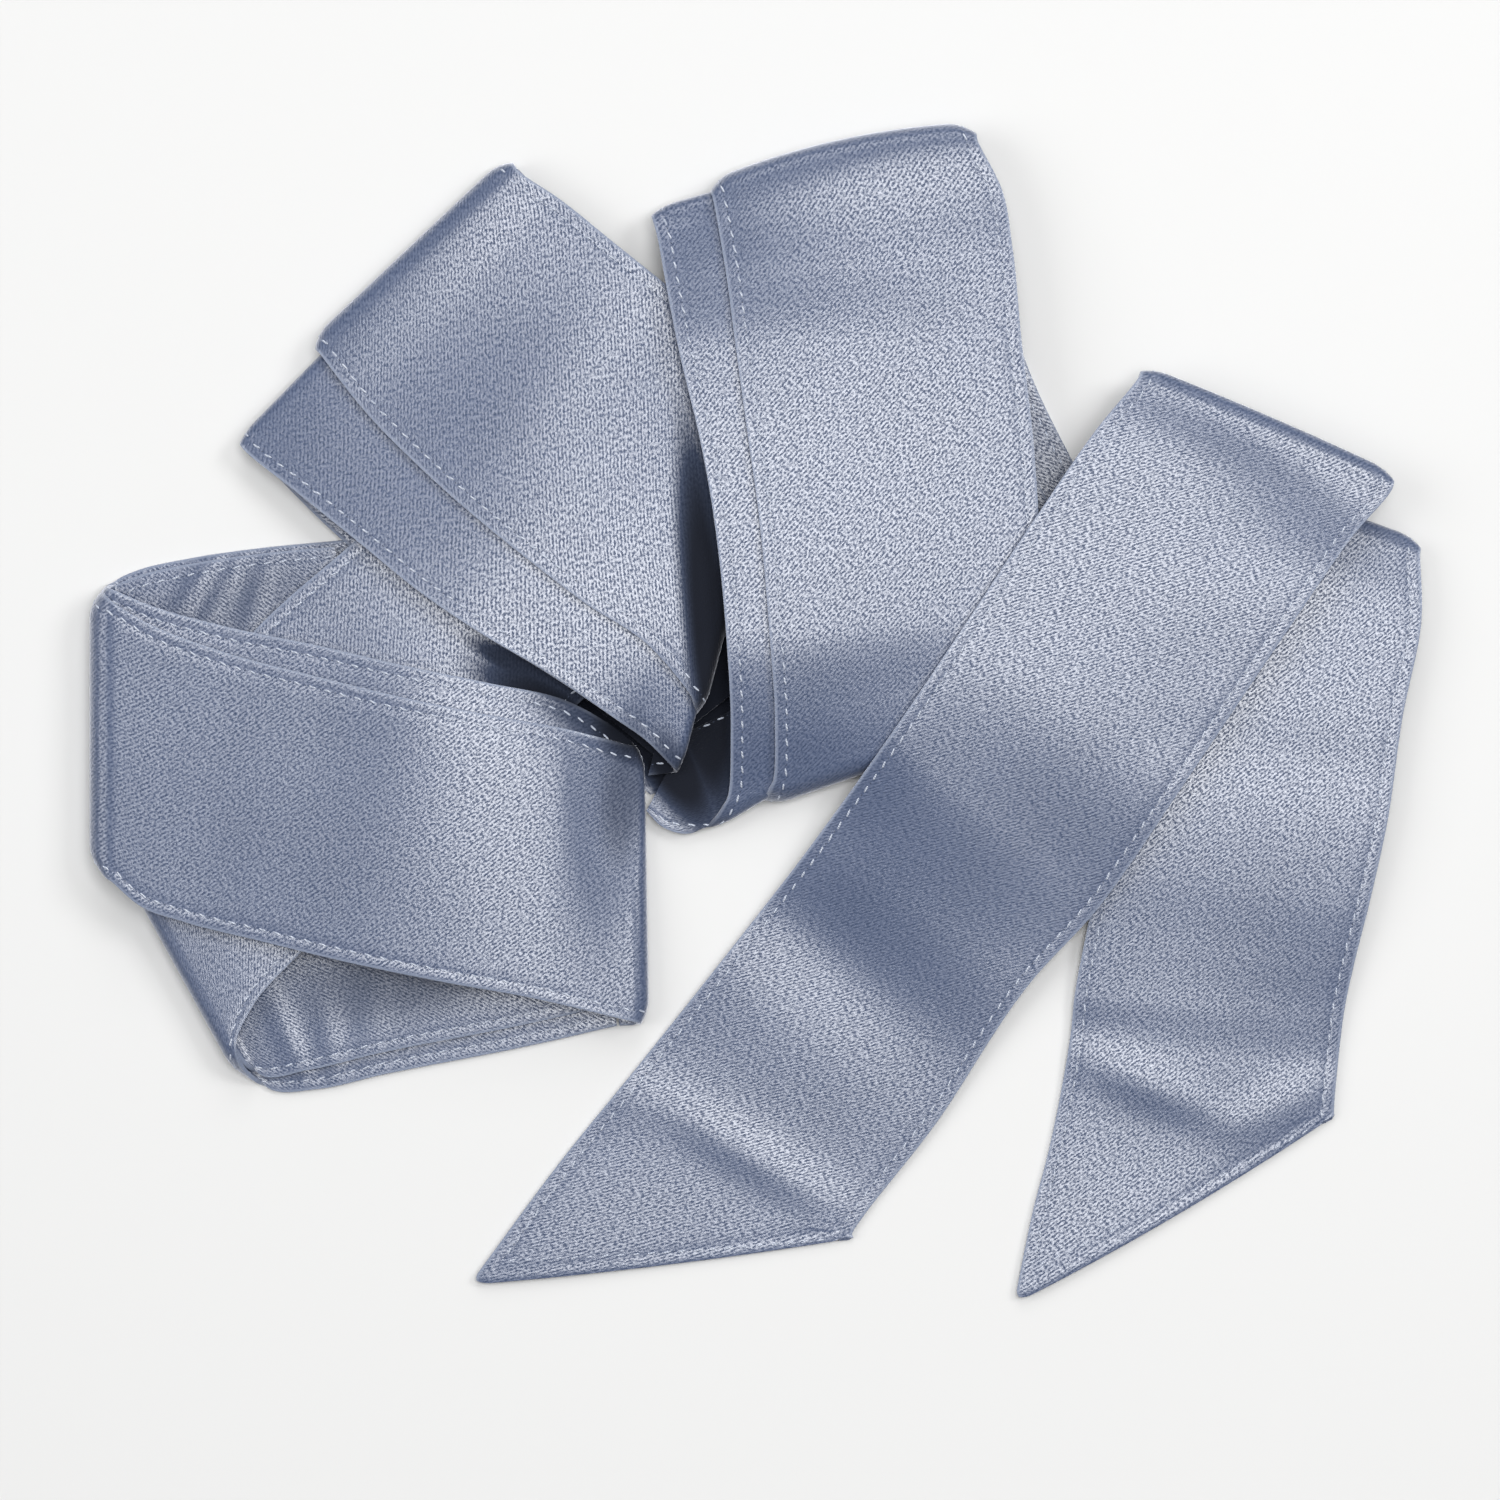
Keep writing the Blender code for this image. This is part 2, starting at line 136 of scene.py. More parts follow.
# %% The upper loop: under it, round its top left turn, over the top and round its end
UPPER_LOOP = [
    section(-12.9, 3.95, FLOOR, 128, 38, near_in=-8.0, far_in=-6.0, width=44),
    section(-28.2, 24.5, FLOOR, 136, 46, near_in=-15.0, far_in=-9.0, width=33),
    section(-44.0, 39.7, FLOOR, 136, 46, near_in=-22.0, far_in=-20.0, width=42),
    section(-66.0, 60.8, FLOOR, 136, 45, near_in=-24.5, far_in=-24.2, width=50),
    section(-85.9, 79.7, FLOOR, 136, 43.3, near_in=-24.2, far_in=-24.2, pull=2.9, width=53.9),
    TURN,
    section(-85.9, 79.1, 6.6, -48, 43.3, near_in=-24.2, far_in=-24.2, pull=2.9, width=53.9),
    section(-76.8, 67.5, 7.6, -47, 47.2, fall=1.6, near_in=-21.2, far_in=-21.2, width=57.5),
    section(-66.4, 56.9, 8.6, -46, 49.4, fall=2.8, near_in=-19.4, far_in=-19.4, width=59),
    section(-54.0, 45.8, 9.4, -42, 51.6, fall=3.6, near_in=-18.6, far_in=-18.6, width=60),
    section(-43.8, 37.6, 10.0, -40, 53.0, fall=3.8, near_in=-17.5, far_in=-17.5, width=60),
    section(-32.8, 29.2, 10.4, -38, 56.7, fall=3.4, near_in=-15.8, far_in=-15.8, width=57.5),
    section(-20.2, 20.8, 10.4, -44, 64.2, fall=2.4, near_in=-16.0, far_in=-16.0, width=52),
    section(-15.2, 15.4, 10.0, -50, 69.4, fall=1.4, near_in=-14.8, far_in=-14.8, width=47.5),
    section(-11.6, 10.4, 9.2, -55, 75.1, fall=0.4, near_in=-14.5, far_in=-12.0, width=41),
    TURN,
    section(-13.1, 5.6, THIRD, 190, 75.1, near_in=-10.5, far_in=-10.0, width=48),
    section(-18.0, 4.6, THIRD, 190, 76.0, near_in=-10.0, far_in=-10.0, width=48),
]
print("The upper loop has", len(UPPER_LOOP), "rows")

# %% The middle loop: under it, round its top turn, over the top and round its bottom turn
MIDDLE_LOOP = [
    section(10.2, 48.0, FLOOR, 115, 0, near_in=-9.0, far_in=-9.0),
    section(0.1, 73.8, FLOOR, 107, 8, near_in=-10.0, far_in=-10.0),
    section(-3.5, 94.7, FLOOR, 100, 11, near_in=-11.5, far_in=-11.5, bow=1.6),
    section(-7.4, 110.0, FLOOR, 102, 12.5, near_in=-12.6, far_in=-12.6, pull=1.5, bow=2.4),
    TURN,
    section(-7.4, 110.0, 7.6, -78, 12.5, near_in=-12.6, far_in=-12.6, pull=1.5, bow=-2.4),
    section(-6.3, 104.0, 8.8, -80, 8.0, fall=0.4, near_in=-12.3, far_in=-12.3, bow=-1.6, width=57),
    section(-4.8, 95.0, 10.8, -81, 5.0, fall=1.2, near_in=-12.2, far_in=-12.2, width=57.2),
    section(-2.8, 79.6, 12.8, -82, 2.2, fall=2.4, near_in=-11.3, far_in=-11.3, width=56.6),
    section(-0.4, 62.0, 13.6, -83, 1.0, fall=3.3, near_in=-9.6, far_in=-9.6, width=56.4),
    section(1.8, 46.0, 13.6, -84, -1.0, fall=3.7, near_in=-9.0, far_in=-9.0, width=55.4),
    section(3.8, 23.8, 13.0, -87, 4.0, fall=3.8, near_in=-8.6, far_in=-8.6, width=55),
    section(5.0, 5.0, 10.4, -90, 13.6, fall=1.8, near_in=-9.1, far_in=-9.1, width=53.6),
    section(4.6, -6.4, 8.6, -95, 19.0, fall=0.6, near_in=-9.6, far_in=-9.6),
    TURN,
    section(-1.1, -8.4, FLOOR, 130, 19.0, width=50.4),
    section(-7.0, -3.6, FLOOR, 130, 28.0, width=50),
    section(-12.6, 3.6, FLOOR, 134, 38.0, width=45),
]
print("The middle loop has", len(MIDDLE_LOOP), "rows")

# %% What the middle loop's layer beneath does instead after its last turn
MIDDLE_LOOP_INNER_END = [
    section(-11.4, -16.6, SECOND, 160, 45.0, width=47),
    section(-17.6, -15.4, SECOND, 155, 52.0, width=33),
    section(-20.8, -12.2, SECOND, 150, 62.0, width=18),
]
print("The inner layer ends in", len(MIDDLE_LOOP_INNER_END), "rows of its own")

# %% The upper tail: its short layer beneath, round its top turn and down to its point
UPPER_TAIL = [
    section(67.0, 54.6, FIFTH, 61, -30, width=49.5),
    section(77.6, 74.3, FIFTH, 66, -23.2, bow=0.5),
    TURN,
    section(77.6, 74.5, 11.0, 235, -23.2, bow=-0.5),
    section(69.4, 64.4, 11.6, 235, -23.7, fall=0.4),
    section(57.6, 47.4, 12.0, 235, -25.9, fall=1.2),
    section(42.0, 23.8, 12.0, 236, -33.7, fall=2.6),
    section(28.0, 3.0, 10.4, 234, -39.2, fall=4.6),
    section(13.8, -17.0, 5.6, 232.5, -36.0, fall=1.8, width=51.6),
    section(-4.8, -41.2, 1.9, 231.5, -38.7, fall=0.6),
    section(-23.4, -64.6, FLOOR, 230.5, -30.0),
    section(-38.0, -82.6, FLOOR, 230, -13.3),
    section(-56.4, -107.4, FLOOR, 230.5, 6.9, bow=0.8, width=53.6),
]
print("The upper tail has", len(UPPER_TAIL), "rows")

# %% The lower tail: its short layer beneath, round its top turn and down to its point
LOWER_TAIL = [
    section(72.7, 47.2, FLOOR, 59, -20, width=55),
    section(80.8, 59.0, FLOOR, 59, -20, width=55),
    TURN,
    section(81.4, 58.6, FOURTH, 261, -20, width=55.2),
    section(81.0, 39.4, FOURTH, 263, -14, width=54.6),
    section(77.1, 14.2, FOURTH, 262, -9),
    section(74.3, -5.6, 4.8, 261, -9),
    section(71.0, -20.8, 4.0, 261, -10),
    section(67.4, -37.0, 2.6, 261, -6.4),
    section(65.2, -49.0, 1.4, 262, -4.1),
    section(64.2, -58.5, FLOOR, 262, -6.0),
    section(59.6, -82.2, FLOOR, 259, 10.6, width=54.6),
    section(57.0, -92.0, FLOOR, 258, 17.6, width=55),
    section(53.0, -111.2, FLOOR, 258, 30.4, bow=1.2, width=55.2),
]
print("The lower tail has", len(LOWER_TAIL), "rows")

# %% [markdown]
# ## From rows to smooth lines
#
# These helpers turn the rows into pairs of points, put the half rounds in, and run a smooth curve through
# all near ends and another through all far ends. They are the same steps that made the solids, so the
# sheets lie where the solids lie, only with many more stations.


# %% The two ends and the bow of a section line
def unit(degrees):
    """The flat direction of an angle."""
    return Vector((math.cos(math.radians(degrees)), math.sin(math.radians(degrees)), 0.0))


def ahead(row):
    """The flat direction, square to a section line, in which the cloth runs."""
    square = unit(row.toward + 90)
    return square if square.dot(unit(row.heading)) > 0 else -square


def ends(row):
    """The near end, the far end and the bow of a section line."""
    lean = abs(math.sin(math.radians(row.toward - row.heading)))
    near = Vector((row.x, row.y, row.z))
    far = near + unit(row.toward) * (row.width / lean)
    far.z -= row.fall
    return near, far, ahead(row) * row.bow


# %% The half round of a turn
NO_BULGE = Vector((0.0, 0.0, 0.0))


def half_round(start, end, out):
    """The section lines of a turn, between the two that it joins, each with how far the fold bulges there."""
    made = []
    for step in range(1, TURN_STEPS):
        share = step / TURN_STEPS
        angle = math.pi * share
        line = []
        for first, last in zip(start[:2], end[:2]):
            reach = abs(first.z - last.z) / 2
            point = first.lerp(last, share) + out * (reach * math.sin(angle))
            point.z = (first.z + last.z) / 2 + (first.z - last.z) / 2 * math.cos(angle)
            line.append(point)
        made.append((line[0], line[1], start[2].lerp(end[2], share), out * (reach * math.sin(angle))))
    return made


# %% All section lines of a table
def side(index, turns, heights):
    """+1 on a layer that lies beneath its turn, -1 on one that lies on top: the inner layer goes between."""
    turn = min(turns, key=lambda place: abs(place - 0.5 - index))
    below, above = sorted((heights[turn - 1], heights[turn]))
    return 1 if abs(heights[index] - below) < abs(heights[index] - above) else -1


def lines(table, inner=False, inner_end=()):
    """Every section line of a table with its turns worked out, for the outer layer or the one beneath."""
    rows = [row for row in table if row is not TURN]
    turns = [i - table[:i].count(TURN) for i, row in enumerate(table) if row is TURN]
    heights = [row.z for row in rows]
    own = len(rows) - len(inner_end) if inner else len(rows)
    found = []
    for index, row in enumerate(rows):
        near, far, bow = ends(row)
        if inner and index < own:
            along = (far - near) / (far - near).length
            back = ahead(row) if index in turns else -ahead(row)
            lift = Vector((0.0, 0.0, side(index, turns, heights) * LAYER))
            near = near + along * row.near_in + back * row.pull + lift
            far = far + along * row.far_in + back * row.pull * 0.25 + lift
            bow = bow * INNER_BOW
        elif inner:
            near, far, bow = ends(inner_end[index - own])
        if index in turns:
            found.extend(half_round(found[-1], (near, far, bow), ahead(rows[index - 1])))
        found.append((near, far, bow, NO_BULGE))
    return found


# %% A smooth curve through given points
def slopes(knots, values, level):
    """The slope at each knot of a smooth curve. A level one never passes above or below its own knots."""
    steps = np.diff(values) / np.diff(knots)
    found = [steps[0]]
    for i in range(1, len(steps)):
        before, after = knots[i] - knots[i - 1], knots[i + 1] - knots[i]
        if not level:
            found.append((steps[i - 1] * after + steps[i] * before) / (before + after))
        elif steps[i - 1] * steps[i] <= 0:
            found.append(0.0)
        else:
            found.append(2 * steps[i - 1] * steps[i] / (steps[i - 1] + steps[i]))
    return np.array(found + [steps[-1]])


def smooth_line(knots, points, places):
    """Points of the smooth curve through the given ones, at each place along it."""
    i = np.clip(np.searchsorted(knots, places, side="right") - 1, 0, len(knots) - 2)
    span = knots[i + 1] - knots[i]
    t = (places - knots[i]) / span
    made = []
    for axis in range(3):
        values = points[:, axis]
        slope = slopes(knots, values, level=axis == 2)
        made.append(
            values[i] * (1 + 2 * t) * (1 - t) ** 2
            + values[i + 1] * t * t * (3 - 2 * t)
            + span * (slope[i] * t * (1 - t) ** 2 - slope[i + 1] * t * t * (1 - t))
        )
    return np.stack(made, axis=1)


# %% [markdown]
# ## The drape of the heap
#
# Heavy satin never lies quite flat. Where it bridges other layers it swells and sinks in long soft waves,
# and these make its light and dark bands. One height map over the whole heap lifts every layer at a place
# by an amount that grows with its height, so layers keep their order and the lowest stays on the surface.

# %% Soft swells and hollows, read off the bands of light
Swell = namedtuple("Swell", "x y heading length breadth rise")
SWELLS = [
    Swell(-60.0, 0.0, 78, 44, 25, 1.4),
    Swell(-20.5, -6.0, 84, 27, 10, -2.0),
    Swell(-40.0, 48.0, 55, 30, 16, 0.5),
    Swell(-34.0, 80.0, 55, 32, 14, 0.62),
    Swell(18.5, 118.0, 12, 45, 14, 1.6),
    Swell(8.0, -10.0, 12, 17, 11, -1.8),
    Swell(-34.0, 9.0, -38, 34, 12, -1.2),
    Swell(102.7, 63.7, -23, 42, 8, -1.2),
    Swell(124.0, 46.0, -18, 24, 11, -1.9),
    Swell(112.0, -2.0, 170, 24, 6, -0.4),
    Swell(88.0, 30.0, 150, 18, 12, 0.4),
    Swell(14.5, -41.5, -39, 36, 12.5, -3.2),
]
FULL_DRAPE_HEIGHT = 6.0
RIPPLE_SIZE = 30.0
RIPPLE_RISE = 0.2

# %% Creases low in the heap, where the cloth lies on the surface and can only rise from it
TAIL_CREASES = [
    Swell(-0.5, -81.0, -31, 20, 4.6, 0.48),
    Swell(-28.0, -68.0, -30, 12, 6.0, 0.25),
    Swell(86.0, -58.0, -10, 30, 15.0, 0.9),
    Swell(81.5, -68.0, -24, 17, 4.4, 0.5),
    Swell(106.5, -71.5, 25, 12, 4.6, 0.35),
    Swell(58.0, -114.0, 30, 40, 18.0, 0.7),
    Swell(-50.0, -110.0, 20, 30, 17.0, 0.6),
]
POCKET_CREASES = [
    Swell(-112.0, 31.5, 55, 9, 1.9, 0.4),
    Swell(-106.5, 30.5, 62, 9, 1.7, 0.32),
    Swell(-99.0, 30.0, 72, 8, 1.9, 0.32),
    Swell(-93.0, -57.0, 112, 9, 2.4, 0.4),
    Swell(-84.5, -57.5, 98, 8, 2.6, 0.3),
    Swell(-76.0, -54.0, 80, 8, 3.2, 0.22),
]
POCKET_HEIGHT = 4.0


def heave(swells, x, y):
    """The sum of some swells at a place, in millimetres."""
    lift = np.zeros(len(x))
    for swell in swells:
        way = unit(swell.heading)
        along = (x - swell.x) * way.x + (y - swell.y) * way.y
        across = (y - swell.y) * way.x - (x - swell.x) * way.y
        lift += swell.rise * np.exp(-((along / swell.length) ** 2) - (across / swell.breadth) ** 2)
    return lift


def drape(x, y):
    """How far a high layer is lifted at a place, in millimetres."""
    ripple = [RIPPLE_RISE * noise.noise((a / RIPPLE_SIZE, b / RIPPLE_SIZE, 0.0)) for a, b in zip(x, y)]
    return np.array(ripple) + heave(SWELLS, x, y)


print("The drape has", len(SWELLS), "swells")

# %% [markdown]
# ## A sheet of the sash
#
# Each stretch starts as a plain grid, and its points are moved onto the section lines by formula. Columns
# lie closer together near the two edges, where the turned seam makes the cloth plump and the topstitching
# draws it down. A vertex group holds the thickness, Solidify reads it, and a bevel rounds the turned edge.

# %% Where the columns and the last rows lie, and how thick the cloth is there
EDGE_COLUMNS = [0.0, 0.55, 1.05, 1.55, 1.95, STITCH_INSET, 2.65, 3.05, 3.7, 4.8]
MIDDLE_COLUMNS = 34
STATION = 1.0
PLUMP = [(0.0, 0.84), (0.55, 0.94), (1.3, 0.98), (1.95, 0.9), (2.3, 0.84), (2.65, 0.9), (3.7, 1.0), (6.0, 1.02)]
THICKEST = 1.1
EDGE_ROUND = 0.26
TUCK = 0.6
TUCK_BREADTH = 5.0


def column_shares():
    """The place of each column across the sash, from 0 at the near edge to 1 at the far edge."""
    near = [inset / SASH_WIDTH for inset in EDGE_COLUMNS]
    middle = np.linspace(near[-1], 1 - near[-1], MIDDLE_COLUMNS + 1)[1:-1]
    return np.array(near + list(middle) + [1 - share for share in reversed(near)])


SHARES = column_shares()
print("A sheet has", len(SHARES), "columns")


# %% The points of a sheet
def stations(found, pointed):
    """The place of each row along a stretch, and the knots that the rows are read from."""
    knots = [0.0]
    for (near, far, *_), (next_near, next_far, *_) in zip(found, found[1:]):
        knots.append(knots[-1] + ((next_near - near).length + (next_far - far).length) / 2)
    knots = np.array(knots)
    end = knots[-1] - (EDGE_COLUMNS[-1] * 1.5 if pointed else 0.0)
    places = list(np.linspace(0.0, end, max(2, round(end / STATION))))
    if pointed:
        places += [knots[-1] - inset * 1.35 for inset in reversed(EDGE_COLUMNS[:-1])]
    return np.array(places), knots


def cloth_points(found, pointed):
    """The middle of the wall as rows of points, and where each point is in the cloth, along and across."""
    places, knots = stations(found, pointed)
    near, far, bow, bulge = (smooth_line(knots, np.array([line[k] for line in found]), places) for k in range(4))
    t = SHARES[None, :, None]
    tuck = TUCK * np.clip(1 - np.minimum(t, 1 - t) * SASH_WIDTH / TUCK_BREADTH, 0.0, 1.0) ** 2
    points = near[:, None] + (far - near)[:, None] * t + bow[:, None] * 4 * t * (1 - t) - bulge[:, None] * tuck
    points[..., 2] = np.maximum(points[..., 2], FLOOR)
    along = [np.concatenate(([0.0], np.cumsum(np.linalg.norm(np.diff(p, axis=0), axis=1)))) for p in (near, far)]
    slant = Vector(far[0] - near[0]).dot(Vector(near[1] - near[0]).normalized())
    cloth = along[0][:, None] * (1 - SHARES) + (along[1][:, None] + slant) * SHARES
    across = np.broadcast_to(SHARES * SASH_WIDTH, cloth.shape)
    return points, cloth, across


# %% The soft corners of a slanting end
CORNER = 3.2


def soften_corners(points):
    """Rounds the two corners of a slanting end, by drawing a square of cloth into a quarter circle."""
    made = points.copy()
    rows = [i for i in range(len(points)) if np.linalg.norm(points[i, 0] - points[-1, 0]) < CORNER]
    for edge in (0, -1):
        tip = points[-1, edge]
        for i in rows:
            b = np.linalg.norm(points[i, edge] - tip)
            for j in range(len(SHARES)):
                a = abs(SHARES[j] - SHARES[edge]) * SASH_WIDTH
                if a < CORNER and b < CORNER:
                    p, q = 1 - a / CORNER, 1 - b / CORNER
                    inward = points[i, 12 if edge == 0 else -13] - points[i, edge]
                    inward /= np.linalg.norm(inward)
                    back = points[-14, edge] - tip
                    back /= np.linalg.norm(back)
                    move_a = CORNER * (p - p * math.sqrt(1 - q * q / 2))
                    move_b = CORNER * (q - q * math.sqrt(1 - p * p / 2))
                    made[i, j] = points[i, j] + inward * move_a + back * move_b
    return made


# %% The height map laid on the points
def draped(points, pointed):
    """The points after the swells have lifted them, more where they lie high, and the creases where low."""
    flat = points.reshape(-1, 3)
    share = np.clip((flat[:, 2] - FLOOR) / FULL_DRAPE_HEIGHT, 0.0, 1.0)
    lifted = flat.copy()
    lifted[:, 2] += drape(flat[:, 0], flat[:, 1]) * share
    if pointed:
        lifted[:, 2] += heave(TAIL_CREASES, flat[:, 0], flat[:, 1])
    else:
        lowness = np.clip(1 - (flat[:, 2] - FLOOR) / POCKET_HEIGHT, 0.0, 1.0)
        lifted[:, 2] += heave(POCKET_CREASES, flat[:, 0], flat[:, 1]) * lowness
    # no point sinks lower than the lowest one of the sheet, so nothing dips into the surface
    lifted[:, 2] = np.maximum(lifted[:, 2], flat[:, 2].min())
    return lifted.reshape(points.shape)


# %% [markdown]
# The grid primitive brings its own faces and UV map, so only its points and its UVs are rewritten. The UV
# map then holds true distances in the cloth, in metres: along the sash first and across it second. The
# weave and the edge of the satin read it, so the twill turns with the cloth in every fold.


# %% Make a sheet from a grid
def lay_sheet(name, points, cloth, across, pointed):
    """A sheet of the sash as a closed wall, from its middle surface."""
    rows, columns = points.shape[:2]
    bpy.ops.object.select_all(action="DESELECT")
    bpy.ops.mesh.primitive_grid_add(x_subdivisions=columns - 1, y_subdivisions=rows - 1, size=1)
    sheet = bpy.context.object
    sheet.name = name
    sheet.data.name = name
    flat = (points - np.array(HEAP_CENTRE)).reshape(-1, 3) * MM
    sheet.data.vertices.foreach_set("co", flat.ravel())
    corner = np.zeros(len(sheet.data.loops), dtype=int)
    sheet.data.loops.foreach_get("vertex_index", corner)
    places = np.stack([cloth.ravel()[corner], across.ravel()[corner]], axis=1) * MM
    sheet.data.uv_layers[0].name = "cloth"
    sheet.data.uv_layers["cloth"].data.foreach_set("uv", places.ravel())
    face_outward(sheet)
    inset = edge_distance(points, across, pointed)
    thickness = np.interp(inset.ravel(), [p[0] for p in PLUMP], [p[1] for p in PLUMP])
    thicken(sheet, thickness / THICKEST)
    return sheet


def face_outward(sheet):
    """Turns the faces so that the right side of the outer layers faces up on top of the heap."""
    bpy.ops.object.mode_set(mode="EDIT")
    bpy.ops.mesh.select_all(action="SELECT")
    bpy.ops.mesh.normals_make_consistent(inside=False)
    bpy.ops.object.mode_set(mode="OBJECT")


def edge_distance(points, across, pointed):
    """How far each point is from the nearest edge of the cloth."""
    inset = np.minimum(across, SASH_WIDTH - across)
    if pointed:
        last = points[-1]
        for i in range(len(points) - 14, len(points)):
            for j in range(points.shape[1]):
                inset[i, j] = min(inset[i, j], np.linalg.norm(last - points[i, j], axis=1).min())
    return inset


# %% Give a sheet its thickness and its round edge
def thicken(sheet, shares):
    """Solidify by the plumpness of the cloth, then round the turned edge."""
    group = sheet.vertex_groups.new(name="plump")
    for index, share in enumerate(shares):
        group.add([index], float(share), "REPLACE")
    wall = sheet.modifiers.new("wall", "SOLIDIFY")
    wall.thickness = THICKEST * MM
    wall.offset = 0.0
    wall.vertex_group = "plump"
    edge = sheet.modifiers.new("turned edge", "BEVEL")
    edge.limit_method = "ANGLE"
    edge.angle_limit = math.radians(50)
    edge.width = EDGE_ROUND * MM
    edge.segments = 3
    bpy.context.view_layer.objects.active = sheet
    for modifier in ("wall", "turned edge"):
        bpy.ops.object.modifier_apply(modifier=modifier)
    bpy.ops.object.shade_smooth()


# %% [markdown]
# ## Running stitches
#
# The topstitching is a thread that dips in and out of the cloth every few millimetres. One stitch is a
# short fat bead of thread, flattened a little. It is modelled once, and then a copy is set down at each
# step along both edges, on both faces of the cloth, and along the slanting end of a tail.

# %% One stitch
STITCH_LENGTH = 1.6
STITCH_BREADTH = 0.44
STITCH_HEIGHT = 0.36
STITCH_SLANT = math.radians(11)
STITCH_WANDER = 0.12
HOLE_SIZE = (0.42, 0.34, 0.10)


def one_stitch():
    """The points and faces of one stitch, lying along X with its middle at the origin, in millimetres."""
    bpy.ops.object.select_all(action="DESELECT")
    bpy.ops.mesh.primitive_uv_sphere_add(segments=6, ring_count=5, radius=0.5, rotation=(0, math.pi / 2, 0))
    bead = bpy.context.object
    bpy.ops.object.transform_apply(location=False, rotation=True, scale=False)
    points = np.array([v.co for v in bead.data.vertices])
    points[:, 0] = np.sign(points[:, 0]) * np.abs(points[:, 0] * 2) ** 0.6 / 2
    faces = [tuple(face.vertices) for face in bead.data.polygons]
    bpy.data.objects.remove(bead)
    return points, faces


BEAD_POINTS, BEAD_FACES = one_stitch()
print("One stitch has", len(BEAD_FACES), "faces")


# %% The path of the stitching on a sheet
def surface_normals(points):
    """The direction square to the cloth at each of its points."""
    along = np.gradient(points, axis=0)
    across = np.gradient(points, axis=1)
    normal = np.cross(along, across)
    return normal / np.linalg.norm(normal, axis=2, keepdims=True)


def seam_paths(points, pointed):
    """The stitch lines of a sheet: points and normals along each edge, and along a slanting end."""
    normal = surface_normals(points)
    near = EDGE_COLUMNS.index(STITCH_INSET)
    far = points.shape[1] - 1 - near
    end = len(points)
    found = []
    if pointed:
        end = len(points) - EDGE_COLUMNS.index(STITCH_INSET)
        found.append((points[end - 1, near + 1 : far], normal[end - 1, near + 1 : far]))
    for column in (near, far):
        found.append((points[:end, column], normal[:end, column]))
    return found


# %% Set the stitches down
def place_stitches(points, normals):
    """Where the stitches of one line and the holes after them lie, and three directions for each."""
    run = np.concatenate(([0.0], np.cumsum(np.linalg.norm(np.diff(points, axis=0), axis=1))))
    middles = np.arange(STITCH_PITCH / 2, run[-1] - STITCH_PITCH / 2, STITCH_PITCH)

    def at(places):
        return np.stack([np.interp(places, run, points[:, k]) for k in range(3)], axis=1)

    before, after = at(middles - STITCH_LENGTH / 2), at(middles + STITCH_LENGTH / 2)
    along = after - before
    along /= np.linalg.norm(along, axis=1, keepdims=True)
    up = np.stack([np.interp(middles, run, normals[:, k]) for k in range(3)], axis=1)
    up -= along * (up * along).sum(axis=1, keepdims=True)
    up /= np.linalg.norm(up, axis=1, keepdims=True)
    wander = np.array([noise.noise((place * 0.9, points[0, 0], points[0, 1])) for place in middles])
    beside = np.cross(up, along)
    turn = STITCH_SLANT + wander[:, None] * STITCH_WANDER
    along, beside = along * np.cos(turn) + beside * np.sin(turn), beside * np.cos(turn) - along * np.sin(turn)
    return at(middles), at(middles + STITCH_PITCH / 2), along, beside, up, wander


def sew(name, points, pointed):
    """All stitches of a sheet, and dark beads of painted shade for the needle holes between them, as one piece.
    """
    spots, faces, slots = [], [], []

    def set_down(centre, axes, size, slot):
        first = len(spots) * len(BEAD_POINTS)
        spots.append((BEAD_POINTS * size) @ axes + centre)
        faces.extend(tuple(first + v for v in face) for face in BEAD_FACES)
        slots.extend([slot] * len(BEAD_FACES))

    for line, normal in seam_paths(points, pointed):
        middle, between, along, beside, up, wander = place_stitches(line, normal)
        for face_side in (1, -1):
            for k in range(len(middle)):
                axes = np.stack([along[k], beside[k] * face_side, up[k] * face_side])
                bead = (STITCH_LENGTH * (1 + 0.25 * wander[k]), STITCH_BREADTH, STITCH_HEIGHT)
                set_down(middle[k] + up[k] * face_side * STITCH_SEAT, axes, bead, 0)
                # a dark bead of painted shade stands for the needle hole after each stitch
                set_down(between[k] + up[k] * face_side * HOLE_SEAT, axes, HOLE_SIZE, 1)
    mesh = bpy.data.meshes.new(name)
    mesh.from_pydata(((np.concatenate(spots) - np.array(HEAP_CENTRE)) * MM).tolist(), [], faces)
    mesh.shade_smooth()
    mesh.materials.append(THREAD)
    mesh.materials.append(NEEDLE_HOLE_SHADE)
    mesh.polygons.foreach_set("material_index", slots)
    seam = bpy.data.objects.new(name, mesh)
    bpy.context.scene.collection.objects.link(seam)
    print(name, "has", len(spots) // 2, "stitches")
    return seam


STITCH_SEAT = 0.42
HOLE_SEAT = 0.40

# %% [markdown]
# ## Twill, as a shared effect
#
# Satin is woven with long floats that slip sideways from one pick to the next, so it shows very fine
# slanting lines. The group reads distances in the cloth, turns them onto the slant, and makes a height for
# the bump and a grain for the colour and the roughness. Small breaks keep the lines from looking printed.


